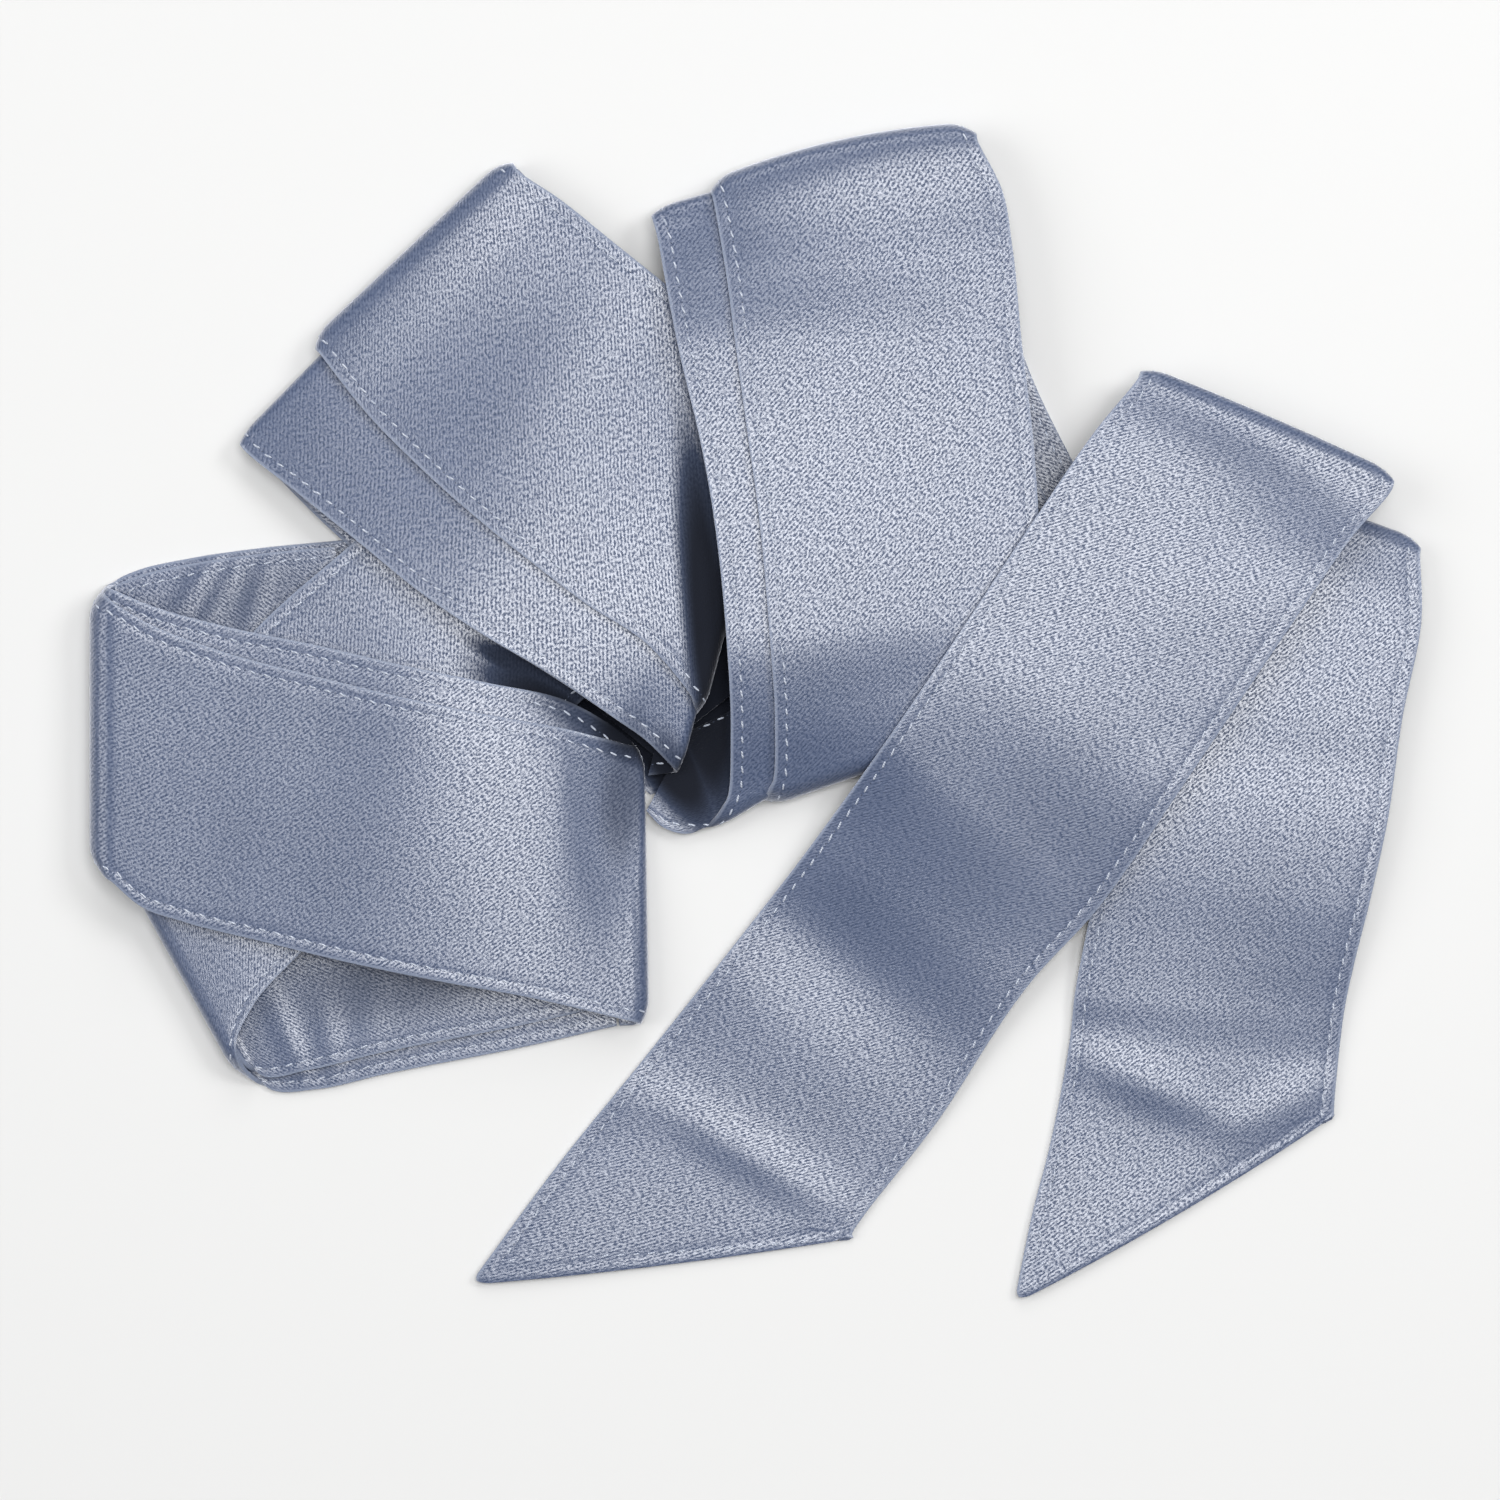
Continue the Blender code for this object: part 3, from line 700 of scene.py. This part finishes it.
# %% The twill group
def twill_group():
    """Slanting floats with small breaks in them, from distances in the cloth."""
    group = bpy.data.node_groups.new("satin twill", "ShaderNodeTree")
    face = group.interface
    face.new_socket(name="Cloth", in_out="INPUT", socket_type="NodeSocketVector")
    face.new_socket(name="Slant", in_out="INPUT", socket_type="NodeSocketFloat")
    face.new_socket(name="Lines per metre", in_out="INPUT", socket_type="NodeSocketFloat")
    face.new_socket(name="Grain per metre", in_out="INPUT", socket_type="NodeSocketFloat")
    face.new_socket(name="Height", in_out="OUTPUT", socket_type="NodeSocketFloat")
    face.new_socket(name="Float", in_out="OUTPUT", socket_type="NodeSocketFloat")
    nodes, links = group.nodes, group.links
    start = nodes.new("NodeGroupInput")
    end = nodes.new("NodeGroupOutput")
    slant = nodes.new("ShaderNodeCombineXYZ")
    turn = nodes.new("ShaderNodeMapping")
    wave = nodes.new("ShaderNodeTexWave")
    wave.wave_type = "BANDS"
    wave.bands_direction = "X"
    wave.inputs["Distortion"].default_value = 0.9
    wave.inputs["Detail"].default_value = 0.0
    wave.inputs["Detail Scale"].default_value = 0.7
    stretch = nodes.new("ShaderNodeMapping")
    stretch.inputs["Scale"].default_value = (1.0, 0.6, 1.0)
    grain = nodes.new("ShaderNodeTexNoise")
    grain.inputs["Detail"].default_value = 1.0
    grain.inputs["Roughness"].default_value = 0.6
    spread = nodes.new("ShaderNodeMapRange")
    spread.inputs["From Min"].default_value = 0.28
    spread.inputs["From Max"].default_value = 0.72
    both = nodes.new("ShaderNodeMix")
    both.inputs["Factor"].default_value = 0.74
    links.new(start.outputs["Slant"], slant.inputs["Z"])
    links.new(start.outputs["Cloth"], turn.inputs["Vector"])
    links.new(slant.outputs["Vector"], turn.inputs["Rotation"])
    links.new(turn.outputs["Vector"], wave.inputs["Vector"])
    links.new(start.outputs["Lines per metre"], wave.inputs["Scale"])
    links.new(turn.outputs["Vector"], stretch.inputs["Vector"])
    links.new(stretch.outputs["Vector"], grain.inputs["Vector"])
    links.new(start.outputs["Grain per metre"], grain.inputs["Scale"])
    links.new(grain.outputs["Fac"], spread.inputs["Value"])
    links.new(wave.outputs["Fac"], both.inputs["A"])
    links.new(spread.outputs["Result"], both.inputs["B"])
    links.new(both.outputs["Result"], end.inputs["Float"])
    links.new(both.outputs["Result"], end.inputs["Height"])
    return group


TWILL = twill_group()
print("The twill group gives", [item.name for item in TWILL.interface.items_tree if item.in_out == "OUTPUT"])

# %% [markdown]
# ## Painted shade in the deep hollows
#
# Between the loops the heap is deep and narrow, and hardly any light comes down to the layers below. The
# lights alone can't darken a place where this heap is lower than a real one, so a mask made of soft balls,
# each placed, turned and stretched by a Mapping node, paints shade into the colour of the cloth that lies
# there and dulls its sheen.

# %% Where shade is painted into the hollows, in millimetres
Hollow = namedtuple("Hollow", "x y z heading length breadth height depth")
LOW_HOLLOWS = [
    Hollow(-9.5, 10.0, 1.0, 97, 34.0, 10.0, 7.0, 1.0),
    Hollow(-17.0, 0.0, 1.0, 120, 26.0, 9.0, 7.0, 1.0),
    Hollow(-43.0, 10.5, 2.5, 152, 26.0, 9.5, 6.5, 1.0),
    Hollow(-30.0, 5.0, 1.0, 150, 20.0, 10.0, 7.0, 1.0),
    Hollow(60.0, 55.0, 1.0, 120, 26.0, 12.0, 7.0, 0.25),
    Hollow(-70.0, -46.0, 0.5, 10, 36.0, 13.0, 5.0, 0.36),
    Hollow(-97.0, 31.0, 0.5, 8, 34.0, 12.0, 4.5, 0.25),
    Hollow(-43.0, 14.6, 5.0, 151, 20.0, 4.2, 8.0, 0.8),
    Hollow(-24.5, -8.0, 8.0, 84, 20.0, 7.0, 9.0, 0.4),
]
UPPER_LOOP_HOLLOWS = LOW_HOLLOWS + [
    Hollow(-8.2, 26.0, 6.0, 96, 52.0, 7.5, 12.0, 1.0),
]


def shade_group(name, hollows):
    """A mask of painted shade: how deep a place in the object lies in a hollow, from 0 to 1."""
    group = bpy.data.node_groups.new(name, "ShaderNodeTree")
    group.interface.new_socket(name="Place", in_out="INPUT", socket_type="NodeSocketVector")
    group.interface.new_socket(name="Shade", in_out="OUTPUT", socket_type="NodeSocketFloat")
    nodes, links = group.nodes, group.links
    start = nodes.new("NodeGroupInput")
    end = nodes.new("NodeGroupOutput")
    deepest = None
    for hollow in hollows:
        place = nodes.new("ShaderNodeMapping")
        place.vector_type = "TEXTURE"
        middle = (Vector((hollow.x, hollow.y, hollow.z)) - HEAP_CENTRE) * MM
        place.inputs["Location"].default_value = middle
        place.inputs["Rotation"].default_value = (0.0, 0.0, math.radians(hollow.heading))
        place.inputs["Scale"].default_value = (hollow.length * MM, hollow.breadth * MM, hollow.height * MM)
        ball = nodes.new("ShaderNodeTexGradient")
        ball.gradient_type = "SPHERICAL"
        soft = nodes.new("ShaderNodeMapRange")
        soft.interpolation_type = "SMOOTHSTEP"
        soft.inputs["From Max"].default_value = 0.55
        soft.inputs["To Max"].default_value = hollow.depth
        links.new(start.outputs["Place"], place.inputs["Vector"])
        links.new(place.outputs["Vector"], ball.inputs["Vector"])
        links.new(ball.outputs["Fac"], soft.inputs["Value"])
        if deepest is None:
            deepest = soft.outputs["Result"]
            continue
        larger = nodes.new("ShaderNodeMath")
        larger.operation = "MAXIMUM"
        links.new(deepest, larger.inputs[0])
        links.new(soft.outputs["Result"], larger.inputs[1])
        deepest = larger.outputs["Value"]
    links.new(deepest, end.inputs["Shade"])
    return group


# both masks paint shade: they darken the colour and dull the sheen of the cloth in the hollows
LOW_SHADE = shade_group("deep hollows", LOW_HOLLOWS)
UPPER_LOOP_SHADE = shade_group("upper loop hollows", UPPER_LOOP_HOLLOWS)
print("The heap has", len(UPPER_LOOP_HOLLOWS), "hollows")

# %% [markdown]
# ## The satin
#
# Satin is a plain dusty blue under a broad white sheen. The base colour is therefore fairly deep, and most of
# the light that the eye sees comes off the smooth floats at a middling roughness, once from the thread and
# once from a coat. The grain breaks that sheen into the fine sparkle of real thread, a velvet-like sheen
# makes the cloth paler where it turns away, and a bump near the edges puckers it along the stitching. In the
# hollows of the heap, shade is painted into the base colour, and the sheen is dulled there too.

# %% Satin values
DEEP_BLUE = (0.045, 0.066, 0.126, 1.0)
PALE_BLUE = (0.120, 0.152, 0.246, 1.0)
RIM_BLUE = (0.200, 0.235, 0.325, 1.0)
# painted shade: the near-black colour that the hollows blend into the cloth
PAINTED_SHADE_BLUE = (0.006, 0.008, 0.015, 1.0)
SATIN_ROUGHNESS = (0.33, 0.27)
SATIN_COAT = (0.0, 1.0)
COAT_ROUGHNESS = 0.27
COAT_IOR = 1.85
SATIN_IOR = 1.36
TWILL_LINES = 450.0
GRAIN_LINES = 2500.0
CLOUD_LINES = 38.0
PUCKER_LINES = 420.0
SLANT = math.radians(-45)


def colour_ramp(nodes, low, high, low_colour, high_colour):
    """A soft change of colour between two values of a mask."""
    ramp = nodes.new("ShaderNodeValToRGB")
    ramp.color_ramp.elements[0].position = low
    ramp.color_ramp.elements[0].color = low_colour
    ramp.color_ramp.elements[1].position = high
    ramp.color_ramp.elements[1].color = high_colour
    return ramp


def map_range(nodes, low, high, to_low, to_high):
    """A value moved from one range to another."""
    node = nodes.new("ShaderNodeMapRange")
    node.inputs["From Min"].default_value = low
    node.inputs["From Max"].default_value = high
    node.inputs["To Min"].default_value = to_low
    node.inputs["To Max"].default_value = to_high
    return node


def math_node(nodes, operation, second=0.5):
    """One step of arithmetic, with a plain second value."""
    node = nodes.new("ShaderNodeMath")
    node.operation = operation
    node.inputs[1].default_value = second
    return node


# %% How near the edge of the cloth a place is
def edge_group():
    """Masks of the turned rim and of the puckered strip along the stitching, from distances in the cloth."""
    group = bpy.data.node_groups.new("cloth edge", "ShaderNodeTree")
    face = group.interface
    face.new_socket(name="Cloth", in_out="INPUT", socket_type="NodeSocketVector")
    face.new_socket(name="Width", in_out="INPUT", socket_type="NodeSocketFloat")
    face.new_socket(name="Rim", in_out="OUTPUT", socket_type="NodeSocketFloat")
    face.new_socket(name="Pucker", in_out="OUTPUT", socket_type="NodeSocketFloat")
    nodes, links = group.nodes, group.links
    start = nodes.new("NodeGroupInput")
    end = nodes.new("NodeGroupOutput")
    parts = nodes.new("ShaderNodeSeparateXYZ")
    beyond = math_node(nodes, "SUBTRACT")
    nearer = math_node(nodes, "MINIMUM")
    rim = map_range(nodes, 0.0003, 0.0007, 1.0, 0.0)
    strip = map_range(nodes, 0.0022, 0.0065, 1.0, 0.0)
    squeeze = nodes.new("ShaderNodeMapping")
    squeeze.inputs["Scale"].default_value = (1.0, 0.3, 1.0)
    folds = nodes.new("ShaderNodeTexNoise")
    folds.inputs["Scale"].default_value = PUCKER_LINES
    folds.inputs["Detail"].default_value = 1.0
    both = math_node(nodes, "MULTIPLY")
    links.new(start.outputs["Cloth"], parts.inputs["Vector"])
    links.new(start.outputs["Width"], beyond.inputs[0])
    links.new(parts.outputs["Y"], beyond.inputs[1])
    links.new(parts.outputs["Y"], nearer.inputs[0])
    links.new(beyond.outputs["Value"], nearer.inputs[1])
    links.new(nearer.outputs["Value"], rim.inputs["Value"])
    links.new(nearer.outputs["Value"], strip.inputs["Value"])
    links.new(start.outputs["Cloth"], squeeze.inputs["Vector"])
    links.new(squeeze.outputs["Vector"], folds.inputs["Vector"])
    links.new(folds.outputs["Fac"], both.inputs[0])
    links.new(strip.outputs["Result"], both.inputs[1])
    links.new(rim.outputs["Result"], end.inputs["Rim"])
    links.new(both.outputs["Value"], end.inputs["Pucker"])
    return group


CLOTH_EDGE = edge_group()


# %% The satin of one stretch
def blend(nodes, links, mask, first, second):
    """The first colour, changed to a plain second one where the mask says."""
    mix = nodes.new("ShaderNodeMix")
    mix.data_type = "RGBA"
    mix.inputs["B"].default_value = second
    links.new(mask, mix.inputs["Factor"])
    links.new(first, mix.inputs["A"])
    return mix.outputs["Result"]


def satin(name, shade):
    """The dusty blue satin of one stretch, with shade painted into its colour in the hollows of the heap."""
    material = bpy.data.materials.new(name)
    material.use_nodes = True
    nodes, links = material.node_tree.nodes, material.node_tree.links
    shader = nodes["Principled BSDF"]
    cloth = nodes.new("ShaderNodeUVMap")
    cloth.uv_map = "cloth"
    place = nodes.new("ShaderNodeTexCoord")
    hollow = nodes.new("ShaderNodeGroup")
    hollow.node_tree = shade
    edge = nodes.new("ShaderNodeGroup")
    edge.node_tree = CLOTH_EDGE
    edge.inputs["Width"].default_value = SASH_WIDTH * MM
    twill = nodes.new("ShaderNodeGroup")
    twill.node_tree = TWILL
    twill.inputs["Slant"].default_value = SLANT
    twill.inputs["Lines per metre"].default_value = TWILL_LINES
    twill.inputs["Grain per metre"].default_value = GRAIN_LINES
    clouds = nodes.new("ShaderNodeTexNoise")
    clouds.inputs["Scale"].default_value = CLOUD_LINES
    clouds.inputs["Detail"].default_value = 3.0
    tone = math_node(nodes, "MULTIPLY_ADD", 0.3)
    colour = colour_ramp(nodes, 0.28, 1.0, DEEP_BLUE, PALE_BLUE)
    rough = map_range(nodes, 0.2, 0.8, *SATIN_ROUGHNESS)
    dull = map_range(nodes, 0.0, 0.6, 0.0, 1.0)
    rougher = math_node(nodes, "MAXIMUM")
    coat = map_range(nodes, 0.31, 0.69, *SATIN_COAT)
    lit = math_node(nodes, "SUBTRACT")
    lit.inputs[0].default_value = 1.0
    coated = math_node(nodes, "MULTIPLY")
    weave = nodes.new("ShaderNodeBump")
    weave.inputs["Distance"].default_value = 0.00008
    pucker = nodes.new("ShaderNodeBump")
    pucker.inputs["Distance"].default_value = 0.00006
    links.new(cloth.outputs["UV"], twill.inputs["Cloth"])
    links.new(cloth.outputs["UV"], clouds.inputs["Vector"])
    links.new(cloth.outputs["UV"], edge.inputs["Cloth"])
    links.new(place.outputs["Object"], hollow.inputs["Place"])
    links.new(clouds.outputs["Fac"], tone.inputs[0])
    links.new(twill.outputs["Float"], tone.inputs[2])
    links.new(tone.outputs["Value"], colour.inputs["Fac"])
    rimmed = blend(nodes, links, edge.outputs["Rim"], colour.outputs["Color"], RIM_BLUE)
    # painted shade: the base colour goes near-black where the hollow mask says, and the sheen is dulled there
    links.new(blend(nodes, links, hollow.outputs["Shade"], rimmed, PAINTED_SHADE_BLUE), shader.inputs["Base Color"])
    links.new(hollow.outputs["Shade"], dull.inputs["Value"])
    links.new(twill.outputs["Float"], rough.inputs["Value"])
    links.new(rough.outputs["Result"], rougher.inputs[0])
    links.new(dull.outputs["Result"], rougher.inputs[1])
    links.new(rougher.outputs["Value"], shader.inputs["Roughness"])
    links.new(dull.outputs["Result"], lit.inputs[1])
    links.new(twill.outputs["Float"], coat.inputs["Value"])
    links.new(coat.outputs["Result"], coated.inputs[0])
    links.new(lit.outputs["Value"], coated.inputs[1])
    links.new(coated.outputs["Value"], shader.inputs["Coat Weight"])
    links.new(edge.outputs["Pucker"], pucker.inputs["Height"])
    links.new(pucker.outputs["Normal"], weave.inputs["Normal"])
    links.new(twill.outputs["Height"], weave.inputs["Height"])
    links.new(weave.outputs["Normal"], shader.inputs["Normal"])
    shader.inputs["IOR"].default_value = SATIN_IOR
    shader.inputs["Coat Roughness"].default_value = COAT_ROUGHNESS
    shader.inputs["Coat IOR"].default_value = COAT_IOR
    shader.inputs["Sheen Weight"].default_value = 0.8
    shader.inputs["Sheen Roughness"].default_value = 0.35
    shader.inputs["Sheen Tint"].default_value = (0.86, 0.89, 1.0, 1.0)
    return material


# %% [markdown]
# ## The thread
#
# The topstitching thread is a paler blue than the cloth. It is a twisted yarn, so a fine slanting stripe
# in its bump is enough to keep each bead from looking like plastic.


# %% Thread of the topstitching
def thread():
    """The pale blue twisted thread."""
    material = bpy.data.materials.new("pale_blue_thread")
    material.use_nodes = True
    nodes, links = material.node_tree.nodes, material.node_tree.links
    shader = nodes["Principled BSDF"]
    place = nodes.new("ShaderNodeTexCoord")
    twist = nodes.new("ShaderNodeTexWave")
    twist.bands_direction = "DIAGONAL"
    twist.inputs["Scale"].default_value = 900.0
    twist.inputs["Distortion"].default_value = 1.0
    colour = colour_ramp(nodes, 0.2, 0.8, (0.33, 0.37, 0.46, 1.0), (0.56, 0.60, 0.69, 1.0))
    bump = nodes.new("ShaderNodeBump")
    bump.inputs["Distance"].default_value = 0.00005
    links.new(place.outputs["Object"], twist.inputs["Vector"])
    links.new(twist.outputs["Fac"], colour.inputs["Fac"])
    links.new(colour.outputs["Color"], shader.inputs["Base Color"])
    links.new(twist.outputs["Fac"], bump.inputs["Height"])
    links.new(bump.outputs["Normal"], shader.inputs["Normal"])
    shader.inputs["Roughness"].default_value = 0.5
    return material


def needle_hole_shade():
    """Painted shade: a dark flat colour for the dimple where the thread dips into the cloth."""
    material = bpy.data.materials.new("needle_hole_shade")
    material.use_nodes = True
    shader = material.node_tree.nodes["Principled BSDF"]
    shader.inputs["Base Color"].default_value = (0.045, 0.06, 0.10, 1.0)
    shader.inputs["Roughness"].default_value = 0.9
    return material


THREAD = thread()
NEEDLE_HOLE_SHADE = needle_hole_shade()
print("The thread is ready")

# %% [markdown]
# ## Each stretch of the sash
#
# One call dresses a stretch: it works out the section lines, lays the sheet, sews it and gives both their
# finish. The sheet takes the place of the solid of the same name. Its flat size is the strip that a maker
# would cut for that stretch.


# %% Dress one stretch
def dress(node, found, pointed=False):
    """A sheet with its stitches, in place of the solid of that name."""
    points, cloth, across = cloth_points(found, pointed)
    if pointed:
        points = soften_corners(points)
    points = draped(points, pointed)
    sheet = lay_sheet(node + "_cloth", points, cloth, across, pointed)
    sheet.data.materials.clear()
    sheet.data.materials.append(satin(node + "_satin", UPPER_LOOP_SHADE if "upper_loop" in node else LOW_SHADE))
    seam = sew(node + "_stitches", points, pointed)
    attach(sheet, "root")
    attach(seam, "root")
    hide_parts(node)
    return sheet


# %% The four loops and bands, two layers each
for node, table, skipped, inner_end in (
    ("left_loop", LEFT_LOOP, 1, ()),
    ("low_band", LOW_BAND, 0, ()),
    ("upper_loop", UPPER_LOOP, 0, ()),
    ("middle_loop", MIDDLE_LOOP, 0, MIDDLE_LOOP_INNER_END),
):
    dress(node + "_outer", lines(table))
    dress(node + "_inner", lines(table[skipped:], inner=True, inner_end=inner_end))

# %% The two tails
dress("tail_upper", lines(UPPER_TAIL), pointed=True)
dress("tail_lower", lines(LOWER_TAIL), pointed=True)

# %% [markdown]
# ## A scrap of the fold beneath
#
# Between the left loop, the upper loop and the middle loop one can look straight down through the heap, and
# there is cloth there too, in deep shade. A thin flat piece on the surface closes those slits, and the mask
# of the hollows paints that shade into its colour.

# %% The scrap that closes the slits
SCRAP_LEVEL = 0.3
SCRAP_THICKNESS = 0.4
SCRAP_ROWS = [
    (-48.0, 18.0, 9.0),
    (-34.0, 13.0, 13.0),
    (-26.0, 13.0, 17.0),
    (-20.0, 13.0, 22.0),
    (-10.0, 13.0, 19.0),
    (-3.0, 12.0, 9.0),
]


def scrap_sheet():
    """A flat piece of the sash that lies under the slits."""
    bpy.ops.object.select_all(action="DESELECT")
    bpy.ops.mesh.primitive_grid_add(x_subdivisions=len(SCRAP_ROWS) - 1, y_subdivisions=4, size=1)
    scrap = bpy.context.object
    scrap.name = "fold_beneath"
    columns = len(SCRAP_ROWS)
    for index, vertex in enumerate(scrap.data.vertices):
        x, top, breadth = SCRAP_ROWS[index % columns]
        y = top - breadth * (1 - (index // columns) / 4)
        vertex.co = (Vector((x, y, SCRAP_LEVEL)) - HEAP_CENTRE) * MM
    scrap.data.uv_layers[0].name = "cloth"
    for place in scrap.data.uv_layers["cloth"].data:
        place.uv = place.uv * 0.02 + Vector((0.0, 0.02))
    wall = scrap.modifiers.new("wall", "SOLIDIFY")
    wall.thickness = SCRAP_THICKNESS * MM
    wall.offset = 0.0
    bpy.ops.object.modifier_apply(modifier="wall")
    scrap.data.materials.clear()
    # painted shade: the hollow mask darkens this piece
    scrap.data.materials.append(satin("fold_beneath_satin", LOW_SHADE))
    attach(scrap, "root")
    return scrap


scrap_sheet()
print("The slits are closed")

# %% [markdown]
# ## The folds that nothing shows
#
# Between the loops lie more layers that no one can see. Their two rounded solids stay as they are and only
# get the satin's colours, read from places in the object because these solids have no cloth map.


# %% A plain satin for the hidden folds
def hidden_satin():
    """The satin's colours on a solid with no cloth map."""
    material = bpy.data.materials.new("hidden_folds_satin")
    material.use_nodes = True
    nodes, links = material.node_tree.nodes, material.node_tree.links
    shader = nodes["Principled BSDF"]
    place = nodes.new("ShaderNodeTexCoord")
    twill = nodes.new("ShaderNodeGroup")
    twill.node_tree = TWILL
    twill.inputs["Lines per metre"].default_value = TWILL_LINES
    twill.inputs["Grain per metre"].default_value = GRAIN_LINES
    colour = colour_ramp(nodes, 0.2, 0.8, DEEP_BLUE, PALE_BLUE)
    links.new(place.outputs["Object"], twill.inputs["Cloth"])
    links.new(twill.outputs["Float"], colour.inputs["Fac"])
    links.new(colour.outputs["Color"], shader.inputs["Base Color"])
    shader.inputs["Roughness"].default_value = 0.4
    return material


HIDDEN = hidden_satin()
for node in ("hidden_folds_middle", "hidden_folds_right"):
    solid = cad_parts[node]
    solid.data.materials.clear()
    solid.data.materials.append(HIDDEN)
print("The hidden folds have their finish")

# %% [markdown]
# ## Floor, light and camera
#
# The sash lies on a white surface, seen from straight above. A large soft light nearly overhead makes the
# sheen where the cloth lies level, and a lamp at the right throws soft shadows to the left.

# %% The floor
bpy.ops.object.select_all(action="DESELECT")
bpy.ops.mesh.primitive_plane_add(size=8.0)
floor = bpy.context.object
floor.name = "floor"
white = bpy.data.materials.new("white_surface")
white.use_nodes = True
white.node_tree.nodes["Principled BSDF"].inputs["Base Color"].default_value = (0.70, 0.70, 0.695, 1.0)
white.node_tree.nodes["Principled BSDF"].inputs["Roughness"].default_value = 0.9
floor.data.materials.append(white)


# %% The lights
def soft_light(name, place, size, power, target=(0.0, 0.0, 0.0)):
    """A square soft light that points at a target."""
    data = bpy.data.lights.new(name, "AREA")
    data.size = size
    data.energy = power
    lamp = bpy.data.objects.new(name, data)
    lamp.location = place
    lamp.rotation_euler = (Vector(target) - Vector(place)).to_track_quat("-Z", "Y").to_euler()
    bpy.context.scene.collection.objects.link(lamp)
    return lamp


soft_light("overhead softbox", (0.16, 0.10, 1.5), 0.72, 13.4)
soft_light("right lamp", (1.1, 0.5, 1.2), 0.6, 9.5)
soft_light("left board", (-1.6, 0.16, 1.28), 1.45, 16.5)
soft_light("back board", (0.0, 1.76, 1.36), 1.45, 16.5)
world = bpy.data.worlds.new("pale room")
world.use_nodes = True
world.node_tree.nodes["Background"].inputs["Color"].default_value = (0.99, 0.99, 1.0, 1.0)
world.node_tree.nodes["Background"].inputs["Strength"].default_value = 0.16
bpy.context.scene.world = world
bpy.context.scene.view_settings.view_transform = "Standard"

# %% The camera, straight above the middle of the picture
PICTURE_WIDTH = 0.300
LENS = 135.0
SENSOR = 36.0
CLOTH_LEVEL = 0.006
camera_data = bpy.data.cameras.new("camera")
camera_data.lens = LENS
camera_data.sensor_width = SENSOR
camera = bpy.data.objects.new("camera", camera_data)
camera.location = -HEAP_CENTRE * MM + Vector((0.0, 0.0, CLOTH_LEVEL + PICTURE_WIDTH * LENS / SENSOR))
bpy.context.scene.collection.objects.link(camera)
bpy.context.scene.camera = camera
print("The camera is", round(camera.location.z, 3), "m above the surface")
